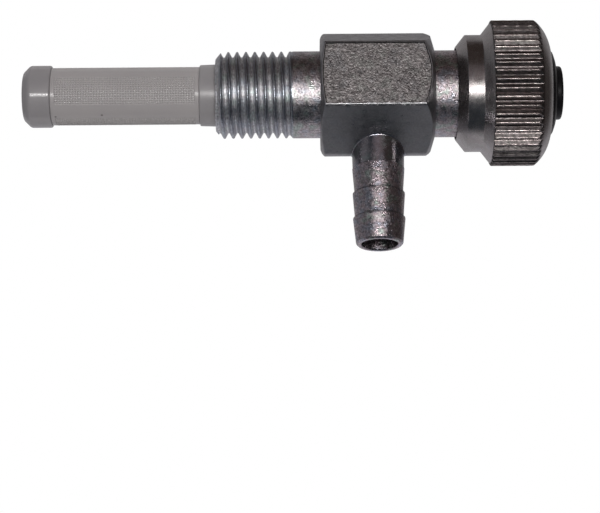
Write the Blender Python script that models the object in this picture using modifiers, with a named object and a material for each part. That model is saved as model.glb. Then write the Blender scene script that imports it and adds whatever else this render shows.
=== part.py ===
"""Fuel tap: a threaded hexagon casting with a barbed hose tail, a screw-down valve, its knob and a strainer.

The tap's axis lies along +X, with the strainer at the left end and the knob at the right. The hose tail
points down, along -Z. The origin is on the axis, on the hexagon's face that seats against the tank.
"""

import math

import bmesh
import bpy
from mathutils import Vector

MM = 0.001
GAP = 0.3 * MM  # clearance left between neighbouring pieces
FAR = 2 * MM  # how far a cutter runs past the face that it opens
HOLD = 3 * MM  # how far a bar runs into the block that it is joined to
ROUND_SIDES = 36
SMALL_SIDES = 24
OFF_SIDE = 0.6 * math.pi / ROUND_SIDES  # turn that keeps a cutter's edges off the edges of what it cuts
SMOOTH_BELOW = math.radians(35)
MERGE = 0.001 * MM  # points closer than this are one point

# Tank thread, a parallel pipe thread
THREAD_DIAMETER = 13.157 * MM
THREAD_PITCH = 1.337 * MM
THREAD_FLANK = math.radians(27.5)
THREAD_DEPTH = 0.6403 * THREAD_PITCH
THREAD_ROOT_FLAT = THREAD_PITCH / 6
THREAD_RUNOUT_TURNS = 0.7
THREAD_LEAD_TURNS = 1.1  # thread cut before the nipple's face, where the tool enters
THREAD_SPARE_TURNS = 4  # turns that the face and the plain shank cut away

# Nipple that screws into the tank
NIPPLE_LENGTH = 15.9 * MM
PLAIN_SHANK_LENGTH = 4.1 * MM
NIPPLE_WALL_AT_FACE = 0.5 * MM
NIPPLE_CHAMFER_LENGTH = 0.9 * MM
INLET_BORE_DIAMETER = 10.0 * MM
INLET_BORE_DEPTH = 6.0 * MM
PASSAGE_DIAMETER = 7.0 * MM

# Hexagon body
HEX_LENGTH = 17.2 * MM
HEX_ACROSS_FLATS = 17.5 * MM
HEX_TANK_FACE_DIAMETER = 16.8 * MM
HEX_TANK_CHAMFER = math.radians(21)
HEX_KNOB_FACE_DIAMETER = 13.8 * MM
HEX_KNOB_FACE_SLOPE = math.radians(22)
HEX_KNOB_EDGE_DIAMETER = 17.2 * MM
HEX_KNOB_CHAMFER = math.radians(38)
FIELD_DEPTH = 0.15 * MM  # shallow sunk field on the front flat
FIELD_BORDER = 0.22 * MM

# Neck that carries the knob
NECK_DIAMETER = 13.157 * MM
NECK_SHOWN = 3.3 * MM
NECK_CHAMFER = 0.5 * MM
SPINDLE_BORE_DIAMETER = 7.4 * MM

# Hose tail, measured outwards from the tap's axis
TAIL_LENGTH = 24.0 * MM
TAIL_BORE_DIAMETER = 5.5 * MM
TAIL_ROOT_DIAMETER = 7.3 * MM
BARB_COUNT = 3
BARB_START = 12.1 * MM
BARB_PITCH = 3.9 * MM
BARB_DIAMETER = 7.84 * MM
BARB_WAIST_DIAMETER = 7.2 * MM
BARB_STEP = 0.1 * MM  # length of the step behind each barb's edge
TAIL_RIM_WIDTH = 0.5 * MM

# Valve seat and seal
SEAT_STATION = 4.6 * MM
SEAT_PORT_DIAMETER = 4.6 * MM
SEAT_LIP_WIDTH = 0.5 * MM
SEAT_LIP_HEIGHT = 0.4 * MM
SEAT_WALL = 3.0 * MM
SEAL_THICKNESS = 1.5 * MM
SCREW_DIAMETER = 1.8 * MM
SCREW_HEAD_DIAMETER = 3.6 * MM
SCREW_HEAD_HEIGHT = 0.9 * MM
SCREW_LENGTH = 6.0 * MM
SCREW_SLOT_WIDTH = 0.5 * MM
SCREW_SLOT_DEPTH = 0.4 * MM

# Spindle and its rings
FLANGE_THICKNESS = 1.2 * MM
OUTLET_CLEAR = 2.0 * MM  # slim stem that runs on past the outlet
STEM_DIAMETER = 4.0 * MM
RING_SECTION = 1.0 * MM
RING_SPACING = 4.5 * MM
TAIL_ROD_DIAMETER = 4.0 * MM
SPINDLE_REVEAL = 0.6 * MM  # spindle that stands out of the neck when the tap is shut
WASHER_THICKNESS = 0.7 * MM
WASHER_DIAMETER = 9.2 * MM
CLIP_THICKNESS = 0.6 * MM
CLIP_DIAMETER = 6.6 * MM
CLIP_GROOVE_DEPTH = 0.6 * MM
CLIP_OPENING = 2.2 * MM
ROD_END = 0.7 * MM

# Knob, with stations measured from its mouth
KNOB_MOUTH_WALL = 0.2 * MM
KNOB_HUB_DIAMETER = 17.7 * MM
KNOB_MOUTH_CHAMFER = 1.4 * MM
KNOB_HUB_LENGTH = 2.4 * MM
KNOB_FLARE_LENGTH = 1.15 * MM
KNOB_SHOULDER_LENGTH = 0.2 * MM
KNURL_DIAMETER = 22.1 * MM
KNURL_LENGTH = 6.85 * MM
KNURL_TEETH = 52
KNURL_DEPTH = 0.5 * MM
KNURL_CREST = 0.3 * MM
KNURL_END_BEVEL = 0.3 * MM
KNURL_UNDERCUT = 0.05 * MM  # shoulder's step below the knurl's roots
KNOB_DOME_HEIGHT = 2.1 * MM
KNOB_DOME_BULGE = 0.35 * MM
KNOB_WEB = 1.8 * MM

# Black cap pressed into the knob
CAP_RECESS_DIAMETER = 14.0 * MM
CAP_RECESS_DEPTH = 2.95 * MM
CAP_WALL = 1.0 * MM
CAP_DOME_RISE = 0.7 * MM
CAP_DOME_BULGE = 0.15 * MM
CAP_BOSS_DIAMETER = 8.1 * MM
CAP_BOSS_HEIGHT = 1.2 * MM
CAP_BOSS_ROUND = 0.6 * MM

# Strainer
STRAINER_LENGTH = 29.1 * MM  # from its tip to the nipple's face
STRAINER_WALL = 0.8 * MM
STRAINER_END_LENGTH = 4.3 * MM
STRAINER_END_ROUND = 1.2 * MM
STRAINER_FLOOR = 2.5 * MM
STRAINER_COLLAR_SHOWN = 2.4 * MM
WINDOW_WIDTH = 3.4 * MM
WINDOW_MARGIN = 0.7 * MM
WINDOW_ROLL = math.radians(-9.3)
GAUZE_DIAMETER = 8.68 * MM
GAUZE_THICKNESS = 0.35 * MM
GAUZE_ROWS = 17
GAUZE_BAR = 0.5  # share of each row that is nylon and not opening
GAUZE_WINDOW_STEPS = 3
GAUZE_RIB_STEPS = 2

# Stations along the axis that follow from the sizes above
NIPPLE_FACE = -NIPPLE_LENGTH
OUTLET_STATION = HEX_LENGTH / 2
INLET_SHOULDER = NIPPLE_FACE + INLET_BORE_DEPTH
SEAT_FLOOR = SEAT_STATION - SEAT_LIP_HEIGHT
KNOB_MOUTH = HEX_LENGTH + NECK_SHOWN
HUB_START = KNOB_MOUTH + KNOB_MOUTH_CHAMFER
HUB_END = HUB_START + KNOB_HUB_LENGTH
FLARE_END = HUB_END + KNOB_FLARE_LENGTH
KNURL_START = FLARE_END + KNOB_SHOULDER_LENGTH
KNURL_END = KNURL_START + KNURL_LENGTH
DOME_END = KNURL_END + KNOB_DOME_HEIGHT
WEB_OUTER = DOME_END - CAP_RECESS_DEPTH
WEB_INNER = WEB_OUTER - KNOB_WEB
WASHER_OUTER = WEB_INNER - GAP
WASHER_INNER = WASHER_OUTER - WASHER_THICKNESS
SPINDLE_SHOULDER = WASHER_INNER - GAP
NECK_END = SPINDLE_SHOULDER - SPINDLE_REVEAL
CLIP_INNER = WEB_OUTER + GAP
CLIP_OUTER = CLIP_INNER + CLIP_THICKNESS
CLIP_GROOVE_END = CLIP_OUTER + GAP
ROD_TIP = CLIP_GROOVE_END + ROD_END
SEAL_FRONT = SEAT_STATION + GAP
SEAL_BACK = SEAL_FRONT + SEAL_THICKNESS
FLANGE_FRONT = SEAL_BACK + GAP
FLANGE_BACK = FLANGE_FRONT + FLANGE_THICKNESS
GUIDE_START = OUTLET_STATION + TAIL_BORE_DIAMETER / 2 + OUTLET_CLEAR
REAR_RING = SPINDLE_SHOULDER - RING_SPACING
FRONT_RING = REAR_RING - RING_SPACING
STRAINER_TIP = NIPPLE_FACE - STRAINER_LENGTH
GAUZE_START = STRAINER_TIP + STRAINER_END_LENGTH
GAUZE_END = NIPPLE_FACE - STRAINER_COLLAR_SHOWN

# Radii that follow from the sizes above
HEX_CORNER = HEX_ACROSS_FLATS / 2 / math.cos(math.pi / 6)
GUIDE_RADIUS = SPINDLE_BORE_DIAMETER / 2 - GAP
GROOVE_RADIUS = GUIDE_RADIUS - RING_SECTION - GAP
RING_GROOVE_WIDTH = RING_SECTION + 2 * GAP
ROD_CLEAR = TAIL_ROD_DIAMETER / 2 + GAP
CLIP_BORE = TAIL_ROD_DIAMETER / 2 - CLIP_GROOVE_DEPTH + GAP
SCREW_CLEAR = SCREW_DIAMETER / 2 + GAP
KNOB_BORE = NECK_DIAMETER / 2 + GAP
CAP_RADIUS = CAP_RECESS_DIAMETER / 2 - GAP
COLLAR_RADIUS = INLET_BORE_DIAMETER / 2 - GAP
GAUZE_BORE = GAUZE_DIAMETER / 2 - GAUZE_THICKNESS
RIB_RADIUS = GAUZE_BORE - GAP
STRAINER_BORE = RIB_RADIUS - STRAINER_WALL


def new_collection(name):
    group = bpy.data.collections.new(name)
    bpy.context.scene.collection.children.link(group)
    return group


def new_material(name, colour, roughness, metallic=0.0):
    """Principled material with one linear colour."""
    material = bpy.data.materials.new(name)
    material.use_nodes = True
    shader = material.node_tree.nodes["Principled BSDF"]
    shader.inputs["Base Color"].default_value = (*colour, 1.0)
    shader.inputs["Roughness"].default_value = roughness
    shader.inputs["Metallic"].default_value = metallic
    return material


def new_frame(name, location, rotation, parent=None):
    """Empty that carries the pieces of one axis."""
    frame = bpy.data.objects.new(name, None)
    frame.location = location
    frame.rotation_euler = rotation
    frame.parent = parent
    frame.empty_display_size = 5 * MM
    parts.objects.link(frame)
    return frame


def add_part(name, mesh, frame, material):
    piece = bpy.data.objects.new(name, mesh)
    piece.parent = frame
    mesh.materials.append(material)
    parts.objects.link(piece)
    return piece


def add_cutter(name, mesh, frame, turn=0.0):
    """Hidden body that shapes a part, turned about its frame's axis."""
    cutter = bpy.data.objects.new(name, mesh)
    cutter.parent = frame
    cutter.rotation_euler = (0, 0, turn)
    cutter.hide_render = True
    cutter.display_type = "WIRE"
    cutters.objects.link(cutter)
    return cutter


def outline_mesh(name, outline, closed=False):
    """Half section in the XZ plane, from (station, radius) pairs that run down its outer side."""
    points = [(radius, 0.0, station) for station, radius in outline]
    edges = [(k, k + 1) for k in range(len(points) - 1)]
    if closed:
        edges.append((len(points) - 1, 0))
    mesh = bpy.data.meshes.new(name)
    mesh.from_pydata(points, edges, [])
    return mesh


def spin(piece, sides):
    """Turn a half section about its frame's axis."""
    turning = piece.modifiers.new("turning", "SCREW")
    turning.axis = "Z"
    turning.steps = sides
    turning.render_steps = sides
    turning.use_merge_vertices = True
    turning.merge_threshold = MERGE
    turning.use_smooth_shade = True
    return piece


def combine(piece, operation, tool):
    boolean = piece.modifiers.new(tool.name, "BOOLEAN")
    boolean.operation = operation
    boolean.solver = "EXACT"
    boolean.object = tool


def settle(piece):
    """Fix a part's modifiers into its mesh and shade it smooth between its sharp edges."""
    graph = bpy.context.evaluated_depsgraph_get()
    mesh = bpy.data.meshes.new_from_object(piece.evaluated_get(graph))
    piece.modifiers.clear()
    piece.data = mesh
    mesh.shade_smooth()
    mesh.set_sharp_from_angle(angle=SMOOTH_BELOW)


def finish_mesh(name, shape):
    """Mesh from a bmesh whose faces are turned outwards."""
    bmesh.ops.recalc_face_normals(shape, faces=shape.faces)
    mesh = bpy.data.meshes.new(name)
    shape.to_mesh(mesh)
    shape.free()
    return mesh


def prism_mesh(name, outline, low, high):
    """Flat outline in the XY plane, raised from one height to another."""
    shape = bmesh.new()
    base = shape.faces.new([shape.verts.new((x, y, low)) for x, y in outline])
    raised = bmesh.ops.extrude_face_region(shape, geom=[base])["geom"]
    top = [item for item in raised if isinstance(item, bmesh.types.BMVert)]
    bmesh.ops.translate(shape, vec=(0, 0, high - low), verts=top)
    return finish_mesh(name, shape)


def box_mesh(name, low, high):
    shape = bmesh.new()
    bmesh.ops.create_cube(shape, size=1.0)
    low, high = Vector(low), Vector(high)
    bmesh.ops.scale(shape, vec=high - low, verts=shape.verts)
    bmesh.ops.translate(shape, vec=(low + high) / 2, verts=shape.verts)
    return finish_mesh(name, shape)


def arc(centre, radius, start, end, steps):
    """Points of (station, radius) on an arc, with angles measured from the axis direction."""
    points = []
    for k in range(steps + 1):
        angle = start + (end - start) * k / steps
        points.append((centre[0] + radius * math.cos(angle), centre[1] + radius * math.sin(angle)))
    return points


def bulged(start, end, bulge, steps):
    """Points of (station, radius) on a shallow curve that stands out from the line between two points."""
    run, rise = end[0] - start[0], end[1] - start[1]
    length = math.hypot(run, rise)
    normal = (-rise / length, run / length)
    points = []
    for k in range(steps + 1):
        share = k / steps
        proud = 4 * bulge * share * (1 - share)
        station = start[0] + run * share + normal[0] * proud
        points.append((station, start[1] + rise * share + normal[1] * proud))
    return points


def hexagon_end(radius, knob_side):
    """Station where the hexagon's turned end meets a given radius."""
    if not knob_side:
        return max(0.0, radius - HEX_TANK_FACE_DIAMETER / 2) * math.tan(HEX_TANK_CHAMFER)
    edge = HEX_KNOB_EDGE_DIAMETER / 2
    face = HEX_KNOB_FACE_DIAMETER / 2
    slope = (min(radius, edge) - face) * math.tan(HEX_KNOB_FACE_SLOPE)
    chamfer = max(0.0, radius - edge) * math.tan(HEX_KNOB_CHAMFER)
    return HEX_LENGTH - max(0.0, slope) - chamfer


def hexagon_outline():
    beyond = HEX_CORNER + FAR
    edge = HEX_KNOB_EDGE_DIAMETER / 2
    return [
        (HEX_LENGTH, 0.0),
        (HEX_LENGTH, HEX_KNOB_FACE_DIAMETER / 2),
        (hexagon_end(edge, True), edge),
        (hexagon_end(beyond, True), beyond),
        (hexagon_end(beyond, False), beyond),
        (0.0, HEX_TANK_FACE_DIAMETER / 2),
        (0.0, 0.0),
    ]


def field_outline(steps=8):
    """Front flat's sunk field, which keeps an even border to the edges and to the turned ends."""
    apothem = HEX_ACROSS_FLATS / 2
    half = apothem * math.tan(math.pi / 6) - FIELD_BORDER
    heights = [half * (2 * k / steps - 1) for k in range(steps + 1)]
    tank_side = [(-z, hexagon_end(math.hypot(apothem, z), False) + FIELD_BORDER) for z in heights]
    knob_side = [(-z, hexagon_end(math.hypot(apothem, z), True) - FIELD_BORDER) for z in reversed(heights)]
    return tank_side + knob_side


def nipple_limit(station):
    """Largest radius of the nipple at a station, with the chamfer at its face."""
    crest = THREAD_DIAMETER / 2
    face = INLET_BORE_DIAMETER / 2 + NIPPLE_WALL_AT_FACE
    return min(crest, face + (crest - face) * (station - NIPPLE_FACE) / NIPPLE_CHAMFER_LENGTH)


def thread_point(turn, share, depth):
    """Point of the thread's skin, in turns from its start, which fades into the plain shank at its end."""
    thread_end = -PLAIN_SHANK_LENGTH
    angle = 2 * math.pi * turn
    along = NIPPLE_FACE + (turn + share - THREAD_LEAD_TURNS) * THREAD_PITCH
    left = (thread_end - along) / THREAD_PITCH / THREAD_RUNOUT_TURNS
    station = min(max(along, NIPPLE_FACE), thread_end)
    cut = depth * THREAD_DEPTH * min(1.0, max(0.0, left))
    radius = min(THREAD_DIAMETER / 2 - cut, nipple_limit(station))
    return Vector((radius * math.cos(angle), radius * math.sin(angle), station))


def nipple_mesh():
    """Threaded nipple and its plain shank, in rows of faces that follow the thread's helix."""
    root = THREAD_ROOT_FLAT / THREAD_PITCH
    flank = THREAD_DEPTH * math.tan(THREAD_FLANK) / THREAD_PITCH
    crest = 1 - root - 2 * flank
    profile = [(0.0, 0.0), (crest, 0.0), (crest + flank, 1.0), (crest + flank + root, 1.0)]
    turns = math.ceil((NIPPLE_LENGTH - PLAIN_SHANK_LENGTH) / THREAD_PITCH) + THREAD_SPARE_TURNS
    shape = bmesh.new()
    columns = []
    for side in range(ROUND_SIDES):
        column = []
        for turn in range(turns):
            for share, depth in profile:
                point = thread_point(side / ROUND_SIDES + turn, share, depth)
                column.append(shape.verts.new(point))
        columns.append(column)
    for side in range(ROUND_SIDES):
        last = side == ROUND_SIDES - 1
        here, there = columns[side], columns[0][len(profile):] if last else columns[side + 1]
        for k in range(min(len(here), len(there)) - 1):
            shape.faces.new((here[k], there[k], there[k + 1], here[k + 1]))
    bmesh.ops.remove_doubles(shape, verts=shape.verts, dist=MERGE)
    for station, reach in ((NIPPLE_FACE, 0.0), (-PLAIN_SHANK_LENGTH, HOLD + PLAIN_SHANK_LENGTH)):
        rim = [edge for edge in shape.edges if edge.is_boundary and abs(edge.verts[0].co.z - station) < MERGE]
        if reach:
            grown = bmesh.ops.extrude_edge_only(shape, edges=rim)["geom"]
            ends = [item for item in grown if isinstance(item, bmesh.types.BMVert)]
            bmesh.ops.translate(shape, vec=(0, 0, reach), verts=ends)
            rim = [item for item in grown if isinstance(item, bmesh.types.BMEdge) and item.is_boundary]
        bmesh.ops.holes_fill(shape, edges=rim)
    return finish_mesh("nipple", shape)


def bore_outline():
    """Way through the tap along its axis, from the spindle's end of the neck to the strainer's socket."""
    bore = SPINDLE_BORE_DIAMETER / 2
    port = SEAT_PORT_DIAMETER / 2
    lip = port + SEAT_LIP_WIDTH
    passage_end = SEAT_FLOOR - SEAT_WALL
    return [
        (NECK_END + FAR, 0.0),
        (NECK_END + FAR, bore + NECK_CHAMFER + FAR),
        (NECK_END - NECK_CHAMFER, bore),
        (SEAT_FLOOR, bore),
        (SEAT_FLOOR, lip),
        (SEAT_STATION, lip),
        (SEAT_STATION, port),
        (passage_end, port),
        (passage_end - (PASSAGE_DIAMETER / 2 - port), PASSAGE_DIAMETER / 2),
        (INLET_SHOULDER, PASSAGE_DIAMETER / 2),
        (INLET_SHOULDER, INLET_BORE_DIAMETER / 2),
        (NIPPLE_FACE - FAR, INLET_BORE_DIAMETER / 2),
        (NIPPLE_FACE - FAR, 0.0),
    ]


def hose_tail_outline():
    """Barbed tail from its tip to its root, where each barb's step faces the hexagon."""
    rim = TAIL_BORE_DIAMETER / 2 + TAIL_RIM_WIDTH
    waist = BARB_WAIST_DIAMETER / 2
    outline = [(TAIL_LENGTH, 0.0), (TAIL_LENGTH, rim), (TAIL_LENGTH - (waist - rim), waist)]
    for k in reversed(range(BARB_COUNT)):
        step = BARB_START + k * BARB_PITCH
        below = TAIL_ROOT_DIAMETER / 2 if k == 0 else waist
        outline.append((step, BARB_DIAMETER / 2))
        outline.append((step - BARB_STEP, below))
    root = HEX_ACROSS_FLATS / 2 - HOLD
    outline.append((root, TAIL_ROOT_DIAMETER / 2))
    outline.append((root, 0.0))
    return outline


def build_tap_body(axis, outlet):
    """One casting: nipple, hexagon, neck and hose tail, with its bores and its tank thread."""
    corners = [math.pi / 3 * k for k in range(6)]
    hexagon = [(HEX_CORNER * math.cos(angle), HEX_CORNER * math.sin(angle)) for angle in corners]
    body = add_part("tap_body", prism_mesh("tap_body", hexagon, -FAR, HEX_LENGTH + FAR), axis, zinc)
    ends = add_cutter("hexagon_ends", outline_mesh("hexagon_ends", hexagon_outline()), axis)
    combine(body, "INTERSECT", spin(ends, ROUND_SIDES))

    combine(body, "UNION", add_cutter("nipple", nipple_mesh(), axis, OFF_SIDE))
    neck = NECK_DIAMETER / 2
    root = HEX_LENGTH - HOLD
    neck_outline = [(NECK_END, 0.0), (NECK_END, neck - NECK_CHAMFER), (NECK_END - NECK_CHAMFER, neck)]
    neck_outline += [(root, neck), (root, 0.0)]
    bar = add_cutter("neck_bar", outline_mesh("neck_bar", neck_outline), axis, OFF_SIDE)
    combine(body, "UNION", spin(bar, ROUND_SIDES))

    tail = add_cutter("hose_tail", outline_mesh("hose_tail", hose_tail_outline()), outlet, OFF_SIDE)
    combine(body, "UNION", spin(tail, ROUND_SIDES))

    bore = add_cutter("flow_bore", outline_mesh("flow_bore", bore_outline()), axis, -OFF_SIDE)
    combine(body, "DIFFERENCE", spin(bore, ROUND_SIDES))
    tail_bore = TAIL_BORE_DIAMETER / 2
    reach = [(TAIL_LENGTH + FAR, 0.0), (TAIL_LENGTH + FAR, tail_bore), (0.0, tail_bore), (0.0, 0.0)]
    bore = add_cutter("outlet_bore", outline_mesh("outlet_bore", reach), outlet, -OFF_SIDE)
    combine(body, "DIFFERENCE", spin(bore, ROUND_SIDES))

    sunk = HEX_ACROSS_FLATS / 2 - FIELD_DEPTH
    field = add_cutter("front_field", prism_mesh("front_field", field_outline(), sunk, sunk + FAR), axis)
    field.rotation_euler = (math.pi / 2, 0, 0)
    combine(body, "DIFFERENCE", field)
    settle(body)


def build_strainer(axis):
    """Moulded nylon frame, closed at its tip, and the gauze sleeve around its four ribs."""
    inner_end = INLET_SHOULDER - GAP
    tip_round = STRAINER_END_ROUND
    tip_floor = STRAINER_TIP + STRAINER_FLOOR
    outline = [
        (inner_end, STRAINER_BORE),
        (inner_end, COLLAR_RADIUS),
        (GAUZE_END, COLLAR_RADIUS),
        (GAUZE_END, RIB_RADIUS),
        (GAUZE_START, RIB_RADIUS),
        (GAUZE_START, COLLAR_RADIUS),
    ]
    centre = (STRAINER_TIP + tip_round, COLLAR_RADIUS - tip_round)
    outline += arc(centre, tip_round, math.pi / 2, math.pi, 4)
    outline.append((STRAINER_TIP, 0.0))
    outline = [(tip_floor, 0.0), (tip_floor, STRAINER_BORE)] + outline
    frame = add_part("strainer_frame", outline_mesh("strainer_frame", outline), axis, nylon)
    spin(frame, ROUND_SIDES)
    low, high = GAUZE_START + WINDOW_MARGIN, GAUZE_END - WINDOW_MARGIN
    for k in range(2):
        reach = (COLLAR_RADIUS, WINDOW_WIDTH / 2)
        box = box_mesh("window", (-reach[0], -reach[1], low), (reach[0], reach[1], high))
        roll = math.pi / 2 * (k + 1) - WINDOW_ROLL
        combine(frame, "DIFFERENCE", add_cutter(f"window_{k + 1}", box, axis, roll))
    settle(frame)

    gauze = add_part("strainer_gauze", gauze_mesh(low, high), axis, gauze_nylon)
    wall = gauze.modifiers.new("wall", "SOLIDIFY")
    wall.thickness = GAUZE_THICKNESS
    wall.offset = -1
    settle(gauze)


def gauze_mesh(low, high):
    """Open sleeve of bars and openings, with the openings over the frame's windows."""
    half_window = math.asin(WINDOW_WIDTH / 2 / RIB_RADIUS)
    angles, open_column = [], []
    for quarter in range(4):
        middle = math.pi / 2 * (quarter + 1) - WINDOW_ROLL
        for k in range(GAUZE_WINDOW_STEPS):
            angles.append(middle - half_window + 2 * half_window * k / GAUZE_WINDOW_STEPS)
            open_column.append(True)
        for k in range(GAUZE_RIB_STEPS):
            angles.append(middle + half_window + (math.pi / 2 - 2 * half_window) * k / GAUZE_RIB_STEPS)
            open_column.append(False)
    row = (high - low) / (GAUZE_ROWS + GAUZE_BAR)
    stations = [GAUZE_START + GAP]
    for k in range(GAUZE_ROWS + 1):
        stations += [low + k * row, low + (k + GAUZE_BAR) * row]
    stations.append(GAUZE_END - GAP)
    radius = GAUZE_DIAMETER / 2
    around = [(radius * math.cos(angle), radius * math.sin(angle)) for angle in angles]
    shape = bmesh.new()
    rings = [[shape.verts.new((x, y, station)) for x, y in around] for station in stations]
    for level, (lower, upper) in enumerate(zip(rings, rings[1:])):
        is_opening = level >= 2 and level % 2 == 0 and level < 2 * GAUZE_ROWS + 2
        for k in range(len(angles)):
            if is_opening and open_column[k]:
                continue
            after = (k + 1) % len(angles)
            shape.faces.new((lower[k], lower[after], upper[after], upper[k]))
    return finish_mesh("strainer_gauze", shape)


def ring_groove(station):
    """Groove in the spindle for one sealing ring, from its knob side to its tank side."""
    half = RING_GROOVE_WIDTH / 2
    return [
        (station + half, GUIDE_RADIUS),
        (station + half, GROOVE_RADIUS),
        (station - half, GROOVE_RADIUS),
        (station - half, GUIDE_RADIUS),
    ]


def build_spindle(axis):
    """Sliding spindle with the seal on its front, two sealing rings and the rod that the knob draws."""
    rod = TAIL_ROD_DIAMETER / 2
    groove = rod - CLIP_GROOVE_DEPTH
    stem = STEM_DIAMETER / 2
    hole_end = SEAL_BACK + SCREW_LENGTH
    rod_chamfer = ROD_END / 2
    outline = [
        (ROD_TIP, 0.0),
        (ROD_TIP, rod - rod_chamfer),
        (ROD_TIP - rod_chamfer, rod),
        (CLIP_GROOVE_END, rod),
        (CLIP_GROOVE_END, groove),
        (WEB_OUTER, groove),
        (WEB_OUTER, rod),
        (SPINDLE_SHOULDER, rod),
        (SPINDLE_SHOULDER, GUIDE_RADIUS),
    ]
    outline += ring_groove(REAR_RING) + ring_groove(FRONT_RING)
    outline += [
        (GUIDE_START, GUIDE_RADIUS),
        (GUIDE_START, stem),
        (FLANGE_BACK, stem),
        (FLANGE_BACK, GUIDE_RADIUS),
        (FLANGE_FRONT, GUIDE_RADIUS),
        (FLANGE_FRONT, SCREW_CLEAR),
        (hole_end, SCREW_CLEAR),
        (hole_end, 0.0),
    ]
    spindle = add_part("spindle", outline_mesh("spindle", outline), axis, brass)
    settle(spin(spindle, SMALL_SIDES))

    section = [(SEAL_BACK, SCREW_CLEAR), (SEAL_BACK, GUIDE_RADIUS), (SEAL_FRONT, GUIDE_RADIUS)]
    section.append((SEAL_FRONT, SCREW_CLEAR))
    seal = add_part("valve_seal", outline_mesh("valve_seal", section, closed=True), axis, rubber)
    settle(spin(seal, SMALL_SIDES))

    shank = SCREW_DIAMETER / 2
    head = SCREW_HEAD_DIAMETER / 2
    head_back = SEAL_FRONT - GAP
    head_front = head_back - SCREW_HEAD_HEIGHT
    edge = SCREW_HEAD_HEIGHT / 3
    screw_outline = [(hole_end - GAP, 0.0), (hole_end - GAP, shank), (head_back, shank), (head_back, head)]
    screw_outline += [(head_front + edge, head), (head_front, head - edge), (head_front, 0.0)]
    screw = add_part("seal_screw", outline_mesh("seal_screw", screw_outline), axis, steel)
    spin(screw, SMALL_SIDES)
    low = (-head - FAR, -SCREW_SLOT_WIDTH / 2, head_front - FAR)
    high = (head + FAR, SCREW_SLOT_WIDTH / 2, head_front + SCREW_SLOT_DEPTH)
    combine(screw, "DIFFERENCE", add_cutter("screw_slot", box_mesh("screw_slot", low, high), axis))
    settle(screw)

    for name, station in (("front_sealing_ring", FRONT_RING), ("rear_sealing_ring", REAR_RING)):
        centre = (station, GROOVE_RADIUS + GAP / 2 + RING_SECTION / 2)
        circle = arc(centre, RING_SECTION / 2, 0, 2 * math.pi, 8)[:-1]
        ring = add_part(name, outline_mesh(name, circle, closed=True), axis, rubber)
        settle(spin(ring, SMALL_SIDES))

    rim = WASHER_DIAMETER / 2
    section = [(WASHER_OUTER, ROD_CLEAR), (WASHER_OUTER, rim), (WASHER_INNER, rim), (WASHER_INNER, ROD_CLEAR)]
    washer = add_part("thrust_washer", outline_mesh("thrust_washer", section, closed=True), axis, steel)
    settle(spin(washer, SMALL_SIDES))

    rim = CLIP_DIAMETER / 2
    section = [(CLIP_OUTER, CLIP_BORE), (CLIP_OUTER, rim), (CLIP_INNER, rim), (CLIP_INNER, CLIP_BORE)]
    clip = add_part("retaining_clip", outline_mesh("retaining_clip", section, closed=True), axis, steel)
    spin(clip, SMALL_SIDES)
    low = (0.0, -CLIP_OPENING / 2, CLIP_INNER - GAP)
    high = (CLIP_DIAMETER, CLIP_OPENING / 2, CLIP_OUTER + GAP)
    combine(clip, "DIFFERENCE", add_cutter("clip_opening", box_mesh("clip_opening", low, high), axis))
    settle(clip)


def knurl_outline():
    """Ring of straight teeth with sharp roots and narrow flat crests."""
    crest = KNURL_DIAMETER / 2
    root = crest - KNURL_DEPTH
    pitch = 2 * math.pi / KNURL_TEETH
    half_crest = KNURL_CREST / KNURL_DIAMETER
    points = []
    for k in range(KNURL_TEETH):
        middle = pitch * k
        corners = ((root, middle - pitch / 2), (crest, middle - half_crest), (crest, middle + half_crest))
        for radius, angle in corners:
            points.append((radius * math.cos(angle), radius * math.sin(angle)))
    return points


def build_knob(axis):
    """Turned and knurled knob, and the moulded cap that covers the rod's end."""
    crest = KNURL_DIAMETER / 2
    root = crest - KNURL_DEPTH
    hub = KNOB_HUB_DIAMETER / 2
    recess = CAP_RECESS_DIAMETER / 2
    outline = [
        (HUB_START, hub),
        (KNOB_MOUTH, KNOB_BORE + KNOB_MOUTH_WALL),
        (KNOB_MOUTH, KNOB_BORE),
        (WEB_INNER, KNOB_BORE),
        (WEB_INNER, ROD_CLEAR),
        (WEB_OUTER, ROD_CLEAR),
        (WEB_OUTER, recess),
        (DOME_END, recess),
    ]
    outline += bulged((DOME_END, recess), (KNURL_END, crest), -KNOB_DOME_BULGE, 5)[1:]
    outline += [
        (KNURL_START + KNURL_END_BEVEL, crest),
        (KNURL_START, root - KNURL_UNDERCUT),
        (FLARE_END, root - KNURL_UNDERCUT),
        (HUB_END, hub),
    ]
    knob = add_part("knob", outline_mesh("knob", outline, closed=True), axis, nickel)
    spin(knob, KNURL_TEETH)
    knurl = prism_mesh("knurl", knurl_outline(), KNOB_MOUTH - FAR, DOME_END + FAR)
    combine(knob, "INTERSECT", add_cutter("knurl", knurl, axis))
    settle(knob)

    boss = CAP_BOSS_DIAMETER / 2
    dome_top = DOME_END + CAP_DOME_RISE
    boss_top = dome_top + CAP_BOSS_HEIGHT
    skirt_end = WEB_OUTER + GAP
    hollow = CAP_RADIUS - CAP_WALL
    outline = [(boss_top, 0.0)]
    outline += arc((boss_top - CAP_BOSS_ROUND, boss - CAP_BOSS_ROUND), CAP_BOSS_ROUND, 0, math.pi / 2, 3)
    outline += bulged((dome_top, boss), (DOME_END, CAP_RADIUS), CAP_DOME_BULGE, 3)
    outline += [
        (skirt_end, CAP_RADIUS),
        (skirt_end, hollow),
        (DOME_END - CAP_WALL, hollow),
        (dome_top - CAP_WALL, boss - CAP_WALL),
        (boss_top - CAP_WALL, boss - CAP_WALL),
        (boss_top - CAP_WALL, 0.0),
    ]
    cap = add_part("knob_cap", outline_mesh("knob_cap", outline), axis, black_plastic)
    settle(spin(cap, ROUND_SIDES))


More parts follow.
